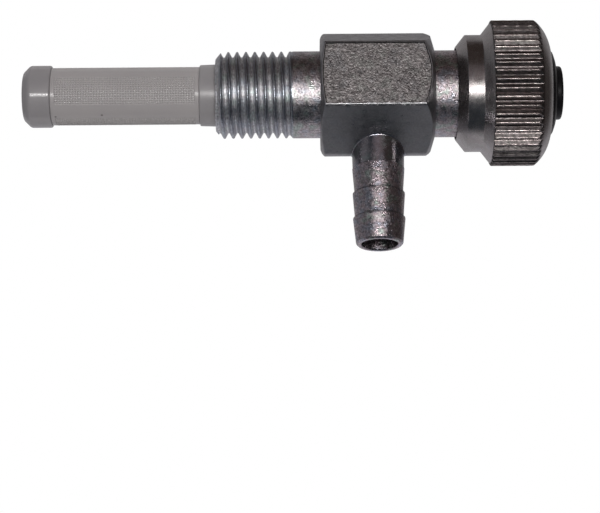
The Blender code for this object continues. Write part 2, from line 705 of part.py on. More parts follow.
for old in list(bpy.data.objects):
    bpy.data.objects.remove(old, do_unlink=True)

parts = new_collection("fuel_tap")
cutters = new_collection("fuel_tap_cutters")

zinc = new_material("zinc_plate", (0.36, 0.36, 0.37), 0.35, 1.0)
nickel = new_material("nickel_plate", (0.42, 0.39, 0.37), 0.22, 1.0)
brass = new_material("brass", (0.55, 0.42, 0.2), 0.3, 1.0)
steel = new_material("steel", (0.45, 0.45, 0.46), 0.3, 1.0)
rubber = new_material("rubber", (0.02, 0.02, 0.02), 0.7)
black_plastic = new_material("black_plastic", (0.015, 0.015, 0.015), 0.35)
nylon = new_material("nylon", (0.24, 0.23, 0.24), 0.4)
gauze_nylon = new_material("gauze_nylon", (0.27, 0.25, 0.26), 0.5)

tap_axis = new_frame("tap_axis", (0, 0, 0), (0, math.pi / 2, 0))
outlet_axis = new_frame("outlet_axis", (OUTLET_STATION, 0, 0), (math.pi, 0, 0))
spindle_axis = new_frame("spindle_axis", (0, 0, 0), (0, 0, 0), tap_axis)
knob_axis = new_frame("knob_axis", (0, 0, 0), (0, 0, 0), spindle_axis)
bpy.context.view_layer.update()

build_tap_body(tap_axis, outlet_axis)
build_strainer(tap_axis)
build_spindle(spindle_axis)
build_knob(knob_axis)
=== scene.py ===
"""Looks of a screw-down fuel tap: nipple with a push-in strainer, hexagon, hose tail and knurled knob."""

import math

import bmesh
import bpy
import numpy as np
from mathutils import Matrix, Vector


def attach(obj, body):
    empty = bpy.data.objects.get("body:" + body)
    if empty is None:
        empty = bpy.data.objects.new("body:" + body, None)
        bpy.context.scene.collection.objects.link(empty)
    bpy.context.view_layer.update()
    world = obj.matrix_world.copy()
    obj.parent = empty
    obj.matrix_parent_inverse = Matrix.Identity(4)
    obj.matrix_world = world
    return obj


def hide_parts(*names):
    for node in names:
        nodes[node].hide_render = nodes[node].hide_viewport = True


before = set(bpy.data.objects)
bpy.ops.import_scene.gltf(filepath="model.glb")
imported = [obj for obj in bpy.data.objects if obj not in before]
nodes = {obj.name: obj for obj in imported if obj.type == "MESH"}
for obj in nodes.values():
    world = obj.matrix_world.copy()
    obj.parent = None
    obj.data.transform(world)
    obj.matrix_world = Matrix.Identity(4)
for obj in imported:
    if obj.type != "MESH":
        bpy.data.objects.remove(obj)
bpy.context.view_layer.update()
MM = 0.001


# Studio. The tap is held level, high over a pale floor, and seen from a little below against white. Its metal
# mirrors a dim room: a long low lamp behind the camera under a faint glow, pale paper below and behind the
# tap, a grey wall above the paper, and a dark side towards the knob and a grey one towards the tank.
CAMERA_RISE = math.radians(17.6)
CAMERA_ROLL = math.radians(0.44)
CAMERA_DISTANCE = 320.0 * MM
CAMERA_DROP = 24.52 * MM
CAMERA_STATION = -3.25 * MM
CAMERA_LENS = 126.5
CAMERA_NEAR = 10 * MM
FLOOR_LEVEL = -300.0 * MM
FLOOR_HALF = 4.0
FLOOR_LIFT = 0.6  # paleness that only the camera sees, on top of the light that falls on the floor
LAMP_COLOUR = (1.0, 0.985, 0.97)
KEY_DISTANCE = 0.36
KEY_SIZE = (0.28, 0.075)
KEY_POWER = 0.42
KEY_ANGLE = math.radians(-14)  # round the tap's axis, from its front towards its top
FLASH_DISTANCE = 0.98 * KEY_DISTANCE
FLASH_SIZE = (0.20, 0.010)
FLASH_POWER = 0.11
FILL_SIZE = (0.3, 0.3)
FILL_POWER = 0.45
OVERHEAD_DISTANCE = 0.5
OVERHEAD_SIZE = (0.55, 0.55)
OVERHEAD_POWER = 2.2
PAPER_LOW = math.radians(262)  # where the pale paper ends, round the tap's axis, in front below the tap
PAPER_HIGH = math.radians(160)
WALL_HIGH = math.radians(97)  # where the grey wall behind the paper ends, over the tap
GLOW_ANGLE = math.radians(12)  # middle of the faint glow over the key lamp
ROOM_LEAN = Vector((0.6, 0, 0.8))  # the dim room turns from cool to warm this way
ROOM_COOL = (0.042, 0.050, 0.058, 1)
ROOM_WARM = (0.056, 0.044, 0.040, 1)
WALL_TONE = (0.33, 0.32, 0.325, 1)
PAPER_TONE = (0.54, 0.53, 0.56, 1)
KNOB_SIDE_TONE = (0.062, 0.054, 0.052, 1)
TANK_SIDE_TONE = (0.20, 0.20, 0.21, 1)
GLOW_TONE = (0.22, 0.19, 0.195, 1)

sight = Vector((0, math.cos(CAMERA_RISE), math.sin(CAMERA_RISE)))
sight_top = Vector((0, -math.sin(CAMERA_RISE), math.cos(CAMERA_RISE)))
scene = bpy.context.scene
scene.view_settings.view_transform = "Standard"


def aimed(forward, top, place):
    """Placement of a camera or lamp that looks along forward."""
    side = forward.cross(top)
    turn = Matrix((side, top, -forward)).transposed().to_4x4()
    return Matrix.Translation(place) @ turn


camera = bpy.data.objects.new("camera", bpy.data.cameras.new("camera"))
camera.data.lens = CAMERA_LENS
camera.data.clip_start = CAMERA_NEAR
place = Vector((CAMERA_STATION, 0, 0)) - CAMERA_DISTANCE * sight - CAMERA_DROP * sight_top
camera.matrix_world = aimed(sight, sight_top, place) @ Matrix.Rotation(-CAMERA_ROLL, 4, "Z")
scene.collection.objects.link(camera)
scene.camera = camera


def round_axis(angle):
    """Direction away from the tap's axis; the angle is 0 at the front and rises over the top."""
    return Vector((0, -math.cos(angle), math.sin(angle)))


def add_lamp(name, direction, distance, size, power, mirrored):
    """Rectangular lamp that looks at the tap from a direction; glossy surfaces show only a mirrored one."""
    lamp = bpy.data.lights.new(name, "AREA")
    lamp.shape = "RECTANGLE"
    lamp.size, lamp.size_y = size
    lamp.energy = power
    lamp.color = LAMP_COLOUR
    stand = bpy.data.objects.new(name, lamp)
    stand.matrix_world = aimed(-direction, Vector((1, 0, 0)).cross(direction), distance * direction)
    stand.visible_glossy = mirrored
    scene.collection.objects.link(stand)


add_lamp("key", round_axis(KEY_ANGLE), KEY_DISTANCE, KEY_SIZE, KEY_POWER, True)
add_lamp("flash", round_axis(KEY_ANGLE), FLASH_DISTANCE, FLASH_SIZE, FLASH_POWER, True)
add_lamp("fill", round_axis(KEY_ANGLE), KEY_DISTANCE, FILL_SIZE, FILL_POWER, False)
add_lamp("overhead", round_axis(math.pi / 2), OVERHEAD_DISTANCE, OVERHEAD_SIZE, OVERHEAD_POWER, False)


def add_node(tree, kind, **values):
    """A node with its settings; a value whose name is an input's is set on that input."""
    made = tree.nodes.new(kind)
    for name, value in values.items():
        label = name.replace("_", " ")
        if label in made.inputs:
            made.inputs[label].default_value = value
        else:
            setattr(made, name, value)
    return made


def ramped(tree, value, start, end, low=0.0, high=1.0, kind="LINEAR"):
    """Value brought from the range start to end into the range low to high."""
    ramp = add_node(tree, "ShaderNodeMapRange", interpolation_type=kind, From_Min=start, From_Max=end,
                    To_Min=low, To_Max=high)
    tree.links.new(value, ramp.inputs["Value"])
    return ramp.outputs["Result"]


def beyond(tree, direction, blur, start=0.0):
    """Share that grows to 1 over the blur, from the start on, by how far a ray leans towards a direction."""
    where = add_node(tree, "ShaderNodeTexCoord")
    dot = add_node(tree, "ShaderNodeVectorMath", operation="DOT_PRODUCT")
    dot.inputs[1].default_value = direction
    tree.links.new(where.outputs["Generated"], dot.inputs[0])
    return ramped(tree, dot.outputs["Value"], start, start + blur, kind="SMOOTHSTEP")


def mixed(tree, share, first, second, blend="MIX"):
    """Colour between two, or towards their product; each is a colour or a socket."""
    mix = add_node(tree, "ShaderNodeMix", data_type="RGBA", blend_type=blend)
    for socket, value in ((mix.inputs[0], share), (mix.inputs[6], first), (mix.inputs[7], second)):
        if isinstance(value, bpy.types.NodeSocket):
            tree.links.new(value, socket)
        else:
            socket.default_value = value
    return mix.outputs[2]


world = bpy.data.worlds.new("room")
world.use_nodes = True
scene.world = world
room = world.node_tree
room.nodes.clear()
quarter_turn = math.pi / 2
dim = mixed(room, beyond(room, ROOM_LEAN, blur=0.6), ROOM_COOL, ROOM_WARM)
wall = mixed(room, beyond(room, round_axis(WALL_HIGH + quarter_turn), blur=0.2), dim, WALL_TONE)
paper = mixed(room, beyond(room, round_axis(PAPER_HIGH + quarter_turn), blur=0.4), wall, PAPER_TONE)
whole = mixed(room, beyond(room, round_axis(PAPER_LOW - quarter_turn), blur=0.2), dim, paper)
knob_side = mixed(room, beyond(room, Vector((1, 0, 0)), blur=0.35, start=0.52), whole, KNOB_SIDE_TONE)
tank_side = mixed(room, beyond(room, Vector((-1, 0, 0)), blur=0.4, start=0.5), knob_side, TANK_SIDE_TONE)
surroundings = mixed(room, beyond(room, round_axis(GLOW_ANGLE), blur=0.13, start=0.86), tank_side, GLOW_TONE)
seen = add_node(room, "ShaderNodeBackground", Color=(1, 1, 1, 1), Strength=1.0)
felt = add_node(room, "ShaderNodeBackground", Strength=1.0)
room.links.new(surroundings, felt.inputs["Color"])
path = add_node(room, "ShaderNodeLightPath")
choose = add_node(room, "ShaderNodeMixShader")
room.links.new(path.outputs["Is Camera Ray"], choose.inputs[0])
room.links.new(felt.outputs[0], choose.inputs[1])
room.links.new(seen.outputs[0], choose.inputs[2])
room.links.new(choose.outputs[0], add_node(room, "ShaderNodeOutputWorld").inputs["Surface"])


def shader_for(name, colour, roughness, metallic):
    """Material with one Principled shader, and its node tree."""
    material = bpy.data.materials.new(name)
    material.diffuse_color = (*colour, 1)
    material.use_nodes = True
    shader = material.node_tree.nodes["Principled BSDF"]
    shader.inputs["Base Color"].default_value = (*colour, 1)
    shader.inputs["Roughness"].default_value = roughness
    shader.inputs["Metallic"].default_value = metallic
    return material, material.node_tree, shader


floor_paint, tree, shader = shader_for("pale_floor", (0.82, 0.82, 0.81), 0.8, 0.0)
shader.inputs["Emission Color"].default_value = (1, 1, 0.99, 1)
lift = add_node(tree, "ShaderNodeMath", operation="MULTIPLY")
lift.inputs[1].default_value = FLOOR_LIFT
tree.links.new(add_node(tree, "ShaderNodeLightPath").outputs["Is Camera Ray"], lift.inputs[0])
tree.links.new(lift.outputs[0], shader.inputs["Emission Strength"])
floor_mesh = bpy.data.meshes.new("floor")
corners = [(-1, -1), (1, -1), (1, 1), (-1, 1)]
corners = [(x * FLOOR_HALF, y * FLOOR_HALF, FLOOR_LEVEL) for x, y in corners]
floor_mesh.from_pydata(corners, [], [(0, 1, 2, 3)])
floor_mesh.materials.append(floor_paint)
floor = bpy.data.objects.new("floor", floor_mesh)
floor.visible_glossy = False
scene.collection.objects.link(floor)


# Tap body. One zinc-plated die casting: nipple with its tank thread, hexagon, neck and barbed hose tail. The
# bores, thread, neck and the hexagon's ends are turned after casting; the front flat keeps its rough skin.
THREAD_DIAMETER = 13.157 * MM
THREAD_PITCH = 1.337 * MM
THREAD_DEPTH = 0.6403 * THREAD_PITCH
THREAD_SHARP_HEIGHT = 0.9605 * THREAD_PITCH
THREAD_ROUND = 0.07 * MM
THREAD_RUNOUT = 0.7 * THREAD_PITCH
THREAD_CREST = -13.56 * MM  # a crest's station on the side that faces the camera
THREAD_RUBBED = (6.05 * MM, 6.4 * MM)  # radii between which the rubbed crests fade in
NIPPLE_FACE = -15.8 * MM
PLAIN_SHANK = 4.1 * MM
NIPPLE_ROOT = 0.5 * MM  # the nipple runs this far into the hexagon
SHANK_ROWS = [-2.0 * MM, -0.3 * MM, NIPPLE_ROOT]
NIPPLE_WALL = 0.5 * MM
NIPPLE_CHAMFER = 0.9 * MM
INLET_RADIUS = 5.0 * MM
INLET_CHAMFER = 0.1 * MM
INLET_SHOULDER = -9.9 * MM
PASSAGE_RADIUS = 3.5 * MM
HEX_LENGTH = 17.2 * MM
HEX_APOTHEM = 8.75 * MM
HEX_HALF_SIDE = HEX_APOTHEM * math.tan(math.pi / 6)
HEX_EDGE_ROUND = 0.28 * MM
HEX_PARTING_ROUND = 1.2 * MM  # top and bottom edges, where the die parts
HEX_WORN_ROUND = 0.36 * MM  # edge under the front flat
HEX_END_ROUND = 0.16 * MM
HEX_CORNER_ROUNDS = [0, 0.1 * MM, HEX_END_ROUND, HEX_END_ROUND, 0.12 * MM, 0.12 * MM, 0]
HEX_ROUND_COLUMNS = 9
HEX_FLAT_COLUMNS = 40
FIELD_COLUMNS = 36
FIELD_ROWS = 60
WORN_FLAT = 5  # the flat under the front one; the edge between them is worn
WORN_DEPTH = 0.0016  # as a share of the radius
WORN_RATES = (0.9, 2.3, 3.7, 6.1, 9.4)  # waves along the edge, in radians a millimetre
WORN_START = 0.6 * MM
WORN_END = 16 * MM
TANK_FACE_RADIUS = 8.4 * MM
TANK_CHAMFER = math.radians(21)
KNOB_FACE_RADIUS = 6.9 * MM
KNOB_FACE_SLOPE = math.radians(17)
KNOB_EDGE_RADIUS = 8.8 * MM
KNOB_CHAMFER = math.radians(38)
FIELD_DEPTH = 0.20 * MM
FIELD_BORDER = 0.20 * MM
FIELD_WALL = 0.13 * MM
NECK_RADIUS = 6.5785 * MM
NECK_END = 27.95 * MM
NECK_CHAMFER = 0.5 * MM
NECK_SUNK = 0.5 * MM  # the neck starts this far inside the hexagon
SPINDLE_BORE = 3.7 * MM
OUTLET_STATION = HEX_LENGTH / 2
TAIL_START = 6.8 * MM  # inside the hexagon
TAIL_TIP = 24.0 * MM
TAIL_BORE = 2.74 * MM
TAIL_ROOT_START = 10.6 * MM
TAIL_ROOT_TOP = 3.90 * MM
TAIL_ROOT_LOW = 3.86 * MM
TAIL_FILLET = 0.26 * MM
TAIL_BORE_CHAMFER = 0.12 * MM
BARB_STEPS = [12.1 * MM, 16.0 * MM, 19.9 * MM]
BARB_RADIUS = 3.92 * MM
BARB_WAIST = 3.55 * MM
BARB_GROOVE = [  # over each lower barb: how far above its edge, how far past the waist, and the rounding
    (0.36 * MM, 0.10 * MM, 0.06 * MM),
    (0.14 * MM, -0.02 * MM, 0.04 * MM),
    (0.02 * MM, -0.02 * MM, 0.02 * MM),
]
BARB_EDGE_ROUND = 0.11 * MM
# Painted shade: the strips that BARB_SHADE gives at each lower barb's edge take the dark zinc.
BARB_SHADE = (0.03 * MM, 0.10 * MM)  # dark strip over and under a barb's edge
TAIL_TIP_RADIUS = 3.52 * MM
TAIL_RIM = 3.25 * MM
FRONT = -CAMERA_RISE  # angle round the tap's axis that faces the camera
ROUND_STEPS = 5
ROUND_LIMIT = 0.48  # most that a rounding takes of a corner's shorter side
MERGE_DISTANCE = 0.0005 * MM
# One of these finishes is a dark zinc that paints shade on the sunk field's walls and at the barbs' edges.
SMOOTH, CAST, TURNED, THREAD, ROOT, TAIL, PAINTED_SHADE, NECK = range(8)  # the body's finishes


def around_axis(station, radius, angle):
    """Points round the tap's axis; the angle is 0 at the front and rises over the top."""
    shape = np.broadcast(station, radius, angle).shape
    points = np.empty((*shape, 3))
    points[..., 0] = station
    points[..., 1] = -np.asarray(radius) * np.cos(angle)
    points[..., 2] = np.asarray(radius) * np.sin(angle)
    return points


def rounded(corners, radii, steps=ROUND_STEPS):
    """Outline with rounded corners, each of the same number of points; one with no radius stays a point."""
    points = []
    for k, (corner, radius) in enumerate(zip(corners, radii)):
        corner = np.array(corner, float)
        if radius == 0 or k in (0, len(corners) - 1):
            points.append(corner)
            continue
        back = np.array(corners[k - 1]) - corner
        ahead = np.array(corners[k + 1]) - corner
        limit = ROUND_LIMIT * min(np.hypot(*back), np.hypot(*ahead))
        back, ahead = back / np.hypot(*back), ahead / np.hypot(*ahead)
        turn = math.pi - math.acos(max(-1.0, min(1.0, float(back @ ahead))))
        reach = min(radius * math.tan(turn / 2), limit)
        start, end = corner + reach * back, corner + reach * ahead
        for step in range(steps + 1):
            share = step / steps
            near = start + (corner - start) * share
            far = corner + (end - corner) * share
            points.append(near + (far - near) * share)
    return np.array(points)


def skin(rings, closed=True):
    """Points and faces over rings that follow each other; closed joins the last ring to the first."""
    rings = np.asarray(rings)
    index = np.arange(rings.shape[0] * rings.shape[1]).reshape(rings.shape[:2])
    upper = np.roll(index, -1, axis=0)
    if not closed:
        index, upper = index[:-1], upper[:-1]
    faces = np.stack([index, np.roll(index, -1, axis=1), np.roll(upper, -1, axis=1), upper], axis=-1)
    return rings.reshape(-1, 3), faces.reshape(-1, 4)


def turned(outline, sides, start=0.0):
    """Rings of a piece turned about the tap's axis, from an outline of stations and radii."""
    angles = start + np.arange(sides) * 2 * math.pi / sides
    outline = np.asarray(outline)
    return around_axis(outline[:, :1], outline[:, 1:], angles[None, :])


def filled(outline, longest):
    """Outline with extra points, so that no stretch is longer than given."""
    points = [outline[0]]
    for start, end in zip(outline, outline[1:]):
        count = max(1, math.ceil(math.dist(start, end) / longest))
        points += [start + (end - start) * k / count for k in range(1, count + 1)]
    return np.array(points)


def make_piece(name, skins, finishes, crease=math.radians(40)):
    """One object from skins, each with points, faces and the finish of each face."""
    points, faces, slots, count = [], [], [], 0
    for part_points, part_faces, slot in skins:
        points.append(part_points)
        faces.append(part_faces + count)
        slots.append(np.broadcast_to(slot, len(part_faces)))
        count += len(part_points)
    mesh = bpy.data.meshes.new(name)
    mesh.from_pydata(np.concatenate(points), [], np.concatenate(faces).tolist())
    for finish in finishes:
        mesh.materials.append(finish)
    mesh.polygons.foreach_set("material_index", np.concatenate(slots).astype(np.int32))
    shape = bmesh.new()
    shape.from_mesh(mesh)
    bmesh.ops.remove_doubles(shape, verts=shape.verts, dist=MERGE_DISTANCE)
    bmesh.ops.recalc_face_normals(shape, faces=shape.faces)
    shape.to_mesh(mesh)
    shape.free()
    mesh.polygons.foreach_set("use_smooth", [True] * len(mesh.polygons))
    mesh.set_sharp_from_angle(angle=crease)
    piece = bpy.data.objects.new(name, mesh)
    scene.collection.objects.link(piece)
    weighted = piece.modifiers.new("even_shading", "WEIGHTED_NORMAL")
    weighted.keep_sharp = True
    return piece


def nipple_skin(sides=160, rows_per_pitch=22):
    """Nipple with its helical thread, which fades into the plain shank, and its inlet bore."""
    angles = np.arange(sides) * 2 * math.pi / sides
    step = THREAD_PITCH / rows_per_pitch
    stations = np.arange(NIPPLE_FACE, -PLAIN_SHANK + step, step)
    stations = np.concatenate([stations, SHANK_ROWS])[:, None]
    phase = (stations - THREAD_CREST) / THREAD_PITCH + (angles - FRONT)[None, :] / (2 * math.pi)
    off_crest = np.abs(phase - np.round(phase))
    cut = 2 * off_crest * THREAD_SHARP_HEIGHT - THREAD_SHARP_HEIGHT / 6
    cut = (cut + np.sqrt(cut**2 + THREAD_ROUND**2)) / 2
    over = THREAD_DEPTH - cut
    cut = THREAD_DEPTH - (over + np.sqrt(over**2 + THREAD_ROUND**2)) / 2
    cut = np.maximum(cut, 0) * np.clip((-PLAIN_SHANK - stations) / THREAD_RUNOUT, 0, 1)
    face = INLET_RADIUS + NIPPLE_WALL
    limit = face + (THREAD_DIAMETER / 2 - face) * (stations - NIPPLE_FACE) / NIPPLE_CHAMFER
    radius = np.minimum(THREAD_DIAMETER / 2 - cut, limit)
    outside = around_axis(stations, radius, angles[None, :])
    bore = [
        (NIPPLE_ROOT, PASSAGE_RADIUS),
        (INLET_SHOULDER, PASSAGE_RADIUS),
        (INLET_SHOULDER, INLET_RADIUS),
        (NIPPLE_FACE + INLET_CHAMFER, INLET_RADIUS),
        (NIPPLE_FACE, INLET_RADIUS + INLET_CHAMFER),
    ]
    return skin(np.concatenate([outside, turned(bore, sides)]))


def hexagon_station(radius, knob_side):
    """Station where the hexagon's turned end meets a given radius."""
    if not knob_side:
        return max(0.0, radius - TANK_FACE_RADIUS) * math.tan(TANK_CHAMFER)
    slope = (min(radius, KNOB_EDGE_RADIUS) - KNOB_FACE_RADIUS) * math.tan(KNOB_FACE_SLOPE)
    return HEX_LENGTH - max(0.0, slope) - max(0.0, radius - KNOB_EDGE_RADIUS) * math.tan(KNOB_CHAMFER)


def hexagon_columns():
    """Points of the hexagon's outline: out, across, the flat's angle, inset from its edge, and which flat."""
    inner = HEX_HALF_SIDE - FIELD_BORDER - FIELD_WALL
    rounds = [HEX_EDGE_ROUND, HEX_PARTING_ROUND, HEX_EDGE_ROUND]
    rounds += [HEX_EDGE_ROUND, HEX_PARTING_ROUND, HEX_WORN_ROUND]
    columns = []
    for flat, edge_round in enumerate(rounds):
        middle = math.pi / 3 * flat
        start = rounds[flat - 1] * math.tan(math.pi / 6) - HEX_HALF_SIDE
        end = HEX_HALF_SIDE - edge_round * math.tan(math.pi / 6)
        across = np.linspace(start, end, HEX_FLAT_COLUMNS)
        if flat == 0:
            field = [-inner - FIELD_WALL, *np.linspace(-inner, inner, FIELD_COLUMNS), inner + FIELD_WALL]
            across = [start, *field, end]
        for s in across:
            columns.append((HEX_APOTHEM, s, middle, HEX_HALF_SIDE - abs(s), flat))
        for k in range(1, HEX_ROUND_COLUMNS):
            lean = math.pi / 3 * k / HEX_ROUND_COLUMNS
            out = HEX_APOTHEM - edge_round + edge_round * math.cos(lean)
            side = end + edge_round * math.sin(lean)
            columns.append((out, side, middle, 0.0, flat))
    return columns


def hexagon_skin():
    """Hexagon with turned ends, rounded edges and the front flat's sunk field, whose walls are painted dark
    as shade.
    """
    wander = np.random.default_rng(4)
    columns, rings, sunk = hexagon_columns(), [], []
    flat_start = 1 + 2 * (ROUND_STEPS + 1)  # rows before the flat: a sharp corner, then two rounded ones
    for out, side, middle, inset, flat in columns:
        radius = math.hypot(out, side)
        angle = middle + math.atan2(side, out)
        low, high = hexagon_station(radius, False), hexagon_station(radius, True)
        corners = [
            (0.0, INLET_RADIUS),
            (0.0, TANK_FACE_RADIUS),
            (low, radius),
            (high, radius),
            (hexagon_station(KNOB_EDGE_RADIUS, True), KNOB_EDGE_RADIUS),
            (HEX_LENGTH, KNOB_FACE_RADIUS),
            (HEX_LENGTH, INLET_RADIUS),
        ]
        outline = rounded(corners, HEX_CORNER_ROUNDS)
        start, end = outline[flat_start - 1], outline[flat_start]
        length = end[0] - start[0]
        rounding = start[0] - low
        border, wall_foot = FIELD_BORDER - rounding, FIELD_BORDER + FIELD_WALL - rounding
        rows = np.linspace(wall_foot, length - wall_foot, FIELD_ROWS)
        shares = np.array([border, *rows, length - border]) / length
        flat_rows = start + (end - start) * shares[:, None]
        outline = np.concatenate([outline[:flat_start], flat_rows, outline[flat_start:]])
        ring = around_axis(outline[:, 0], outline[:, 1], np.full(len(outline), angle))
        is_sunk = np.zeros(len(outline), bool)
        if flat == 0 and inset >= FIELD_BORDER + FIELD_WALL - 0.001 * MM:
            is_sunk[flat_start + 1:flat_start + len(shares) - 1] = True
            ring[is_sunk, 1] += FIELD_DEPTH
        rings.append(ring)
        sunk.append(is_sunk)
    rings = np.array(rings).transpose(1, 0, 2)
    sunk = np.array(sunk).transpose()
    worn_edge = np.array([inset == 0.0 and flat == WORN_FLAT for _, _, _, inset, flat in columns])
    inside = (rings[..., 0] > WORN_START) & (rings[..., 0] < WORN_END)
    waves = sum(wander.uniform(0.4, 1.0) * np.sin(rings[..., 0] / MM * rate + wander.uniform(0, 6.28))
                for rate in WORN_RATES)
    pull = 1 - WORN_DEPTH * np.clip(waves + 1.6, 0, 4) * worn_edge[None, :] * inside
    rings[..., 1] *= pull
    rings[..., 2] *= pull
    points, faces = skin(rings)
    low_points = sunk.reshape(-1)[faces]
    is_field, is_wall = low_points.all(axis=1), low_points.any(axis=1)
    # The field's walls take the dark zinc: painted shade round the sunk field.
    return points, faces, np.where(is_field, CAST, np.where(is_wall, PAINTED_SHADE, SMOOTH))


def neck_skin(sides=160):
    """Neck that the knob screws onto, with its chamfered end and the spindle's bore."""
    root = HEX_LENGTH - NECK_SUNK
    outline = rounded(
        [
            (root, SPINDLE_BORE),
            (root, NECK_RADIUS),
            (NECK_END - NECK_CHAMFER, NECK_RADIUS),
            (NECK_END, NECK_RADIUS - NECK_CHAMFER),
            (NECK_END, SPINDLE_BORE + NECK_CHAMFER),
            (NECK_END - NECK_CHAMFER, SPINDLE_BORE),
        ],
        [0, 0, 0.1 * MM, 0.1 * MM, 0.1 * MM, 0],
    )
    return skin(turned(filled(outline, 0.6 * MM), sides))


def tail_skin(sides=128):
    """Barbed hose tail, with the small fillet that runs round it on the hexagon's lower edge."""
    angles = np.arange(sides) * 2 * math.pi / sides
    corner = HEX_APOTHEM / math.cos(math.pi / 6)

    def ring(radius, depth):
        across, deep = radius * np.cos(angles), radius * np.sin(angles)
        return np.stack([OUTLET_STATION + across, deep, -np.broadcast_to(depth, angles.shape)], axis=-1)

    def on_hexagon(radius):
        flat = corner - np.abs(radius * np.sin(angles)) * math.tan(math.pi / 6)
        return np.minimum(flat, corner - HEX_PARTING_ROUND * (1 / math.cos(math.pi / 6) - 1))

    rings = [ring(TAIL_BORE, TAIL_START), ring(TAIL_ROOT_TOP, TAIL_START)]
    for step in range(9):
        turn = math.pi / 2 * step / 8
        radius = TAIL_ROOT_TOP + TAIL_FILLET * (1 - math.sin(turn))
        rings.append(ring(radius, on_hexagon(radius) - 0.02 * MM + TAIL_FILLET * (1 - math.cos(turn))))
    corners = [(TAIL_ROOT_START, TAIL_ROOT_TOP), (BARB_STEPS[0] - 0.08 * MM, TAIL_ROOT_LOW)]
    corners += [(BARB_STEPS[0], BARB_RADIUS)]
    radii = [0, 0.03 * MM, 0.03 * MM]
    for lower in BARB_STEPS[1:]:
        corners += [(lower - above, BARB_WAIST + past) for above, past, _ in BARB_GROOVE]
        corners += [(lower, BARB_RADIUS)]
        radii += [rounding for _, _, rounding in BARB_GROOVE] + [BARB_EDGE_ROUND]
    rim_start = TAIL_TIP - (TAIL_TIP_RADIUS - TAIL_RIM)
    corners += [(rim_start, TAIL_TIP_RADIUS), (TAIL_TIP, TAIL_RIM), (TAIL_TIP, TAIL_BORE + TAIL_BORE_CHAMFER)]
    corners += [(TAIL_TIP - TAIL_BORE_CHAMFER, TAIL_BORE), (7.0 * MM, TAIL_BORE)]
    radii += [0.12 * MM, 0.1 * MM, 0.05 * MM, 0, 0]
    for depth, radius in filled(rounded(corners, radii), 0.35 * MM):
        rings.append(ring(radius, depth))
    return skin(rings)


def new_group(name, inputs, outputs):
    """Node group with its end nodes, from kinds and labels of sockets, and values of the inputs."""
    group = bpy.data.node_groups.new(name, "ShaderNodeTree")
    for kind, label, value in inputs:
        socket = group.interface.new_socket(label, in_out="INPUT", socket_type="NodeSocket" + kind)
        socket.default_value = value
    for kind, label in outputs:
        group.interface.new_socket(label, in_out="OUTPUT", socket_type="NodeSocket" + kind)
    return group, add_node(group, "NodeGroupInput"), add_node(group, "NodeGroupOutput")


def on_object(tree, kind, **values):
    """Node over places on the object, so that its pattern moves with it."""
    made = add_node(tree, kind, **values)
    tree.links.new(add_node(tree, "ShaderNodeTexCoord").outputs["Object"], made.inputs["Vector"])
    return made


def sized_noise(tree, size, **values):
    """Noise whose patches have the size that a socket gives."""
    rate = add_node(tree, "ShaderNodeMath", operation="DIVIDE")
    rate.inputs[0].default_value = 1.0
    tree.links.new(size, rate.inputs[1])
    noise = on_object(tree, "ShaderNodeTexNoise", **values)
    tree.links.new(rate.outputs[0], noise.inputs["Scale"])
    return noise.outputs["Fac"]


def grain_group():
    """Grain of a cast or blasted skin: fine pits over broader unevenness."""
    inputs = [("Float", "Fine Size", 0.12 * MM), ("Float", "Broad Size", 0.9 * MM)]
    inputs += [("Float", "Broad Share", 0.3)]
    group, given, result = new_group("metal_grain", inputs, [("Float", "Height"), ("Float", "Patches")])
    fine = sized_noise(group, given.outputs["Fine Size"], Detail=1.5, Roughness=0.6)
    broad = sized_noise(group, given.outputs["Broad Size"], Detail=3.0, Roughness=0.6)
    mix = add_node(group, "ShaderNodeMix", data_type="FLOAT")
    group.links.new(given.outputs["Broad Share"], mix.inputs[0])
    group.links.new(fine, mix.inputs[2])
    group.links.new(broad, mix.inputs[3])
    group.links.new(mix.outputs[0], result.inputs["Height"])
    group.links.new(broad, result.inputs["Patches"])
    return group


def tool_mark_group():
    """Fine uneven lines that a turning tool leaves across the direction in which it travels."""
    rates = ("Vector", "Rates", (8000, 60, 60))
    group, given, result = new_group("tool_marks", [rates], [("Float", "Height")])
    stretch = on_object(group, "ShaderNodeVectorMath", operation="MULTIPLY")
    group.links.new(given.outputs["Rates"], stretch.inputs[1])
    noise = add_node(group, "ShaderNodeTexNoise", Scale=1.0, Detail=2.0, Roughness=0.7)
    group.links.new(stretch.outputs[0], noise.inputs["Vector"])
    group.links.new(noise.outputs["Fac"], result.inputs["Height"])
    return group


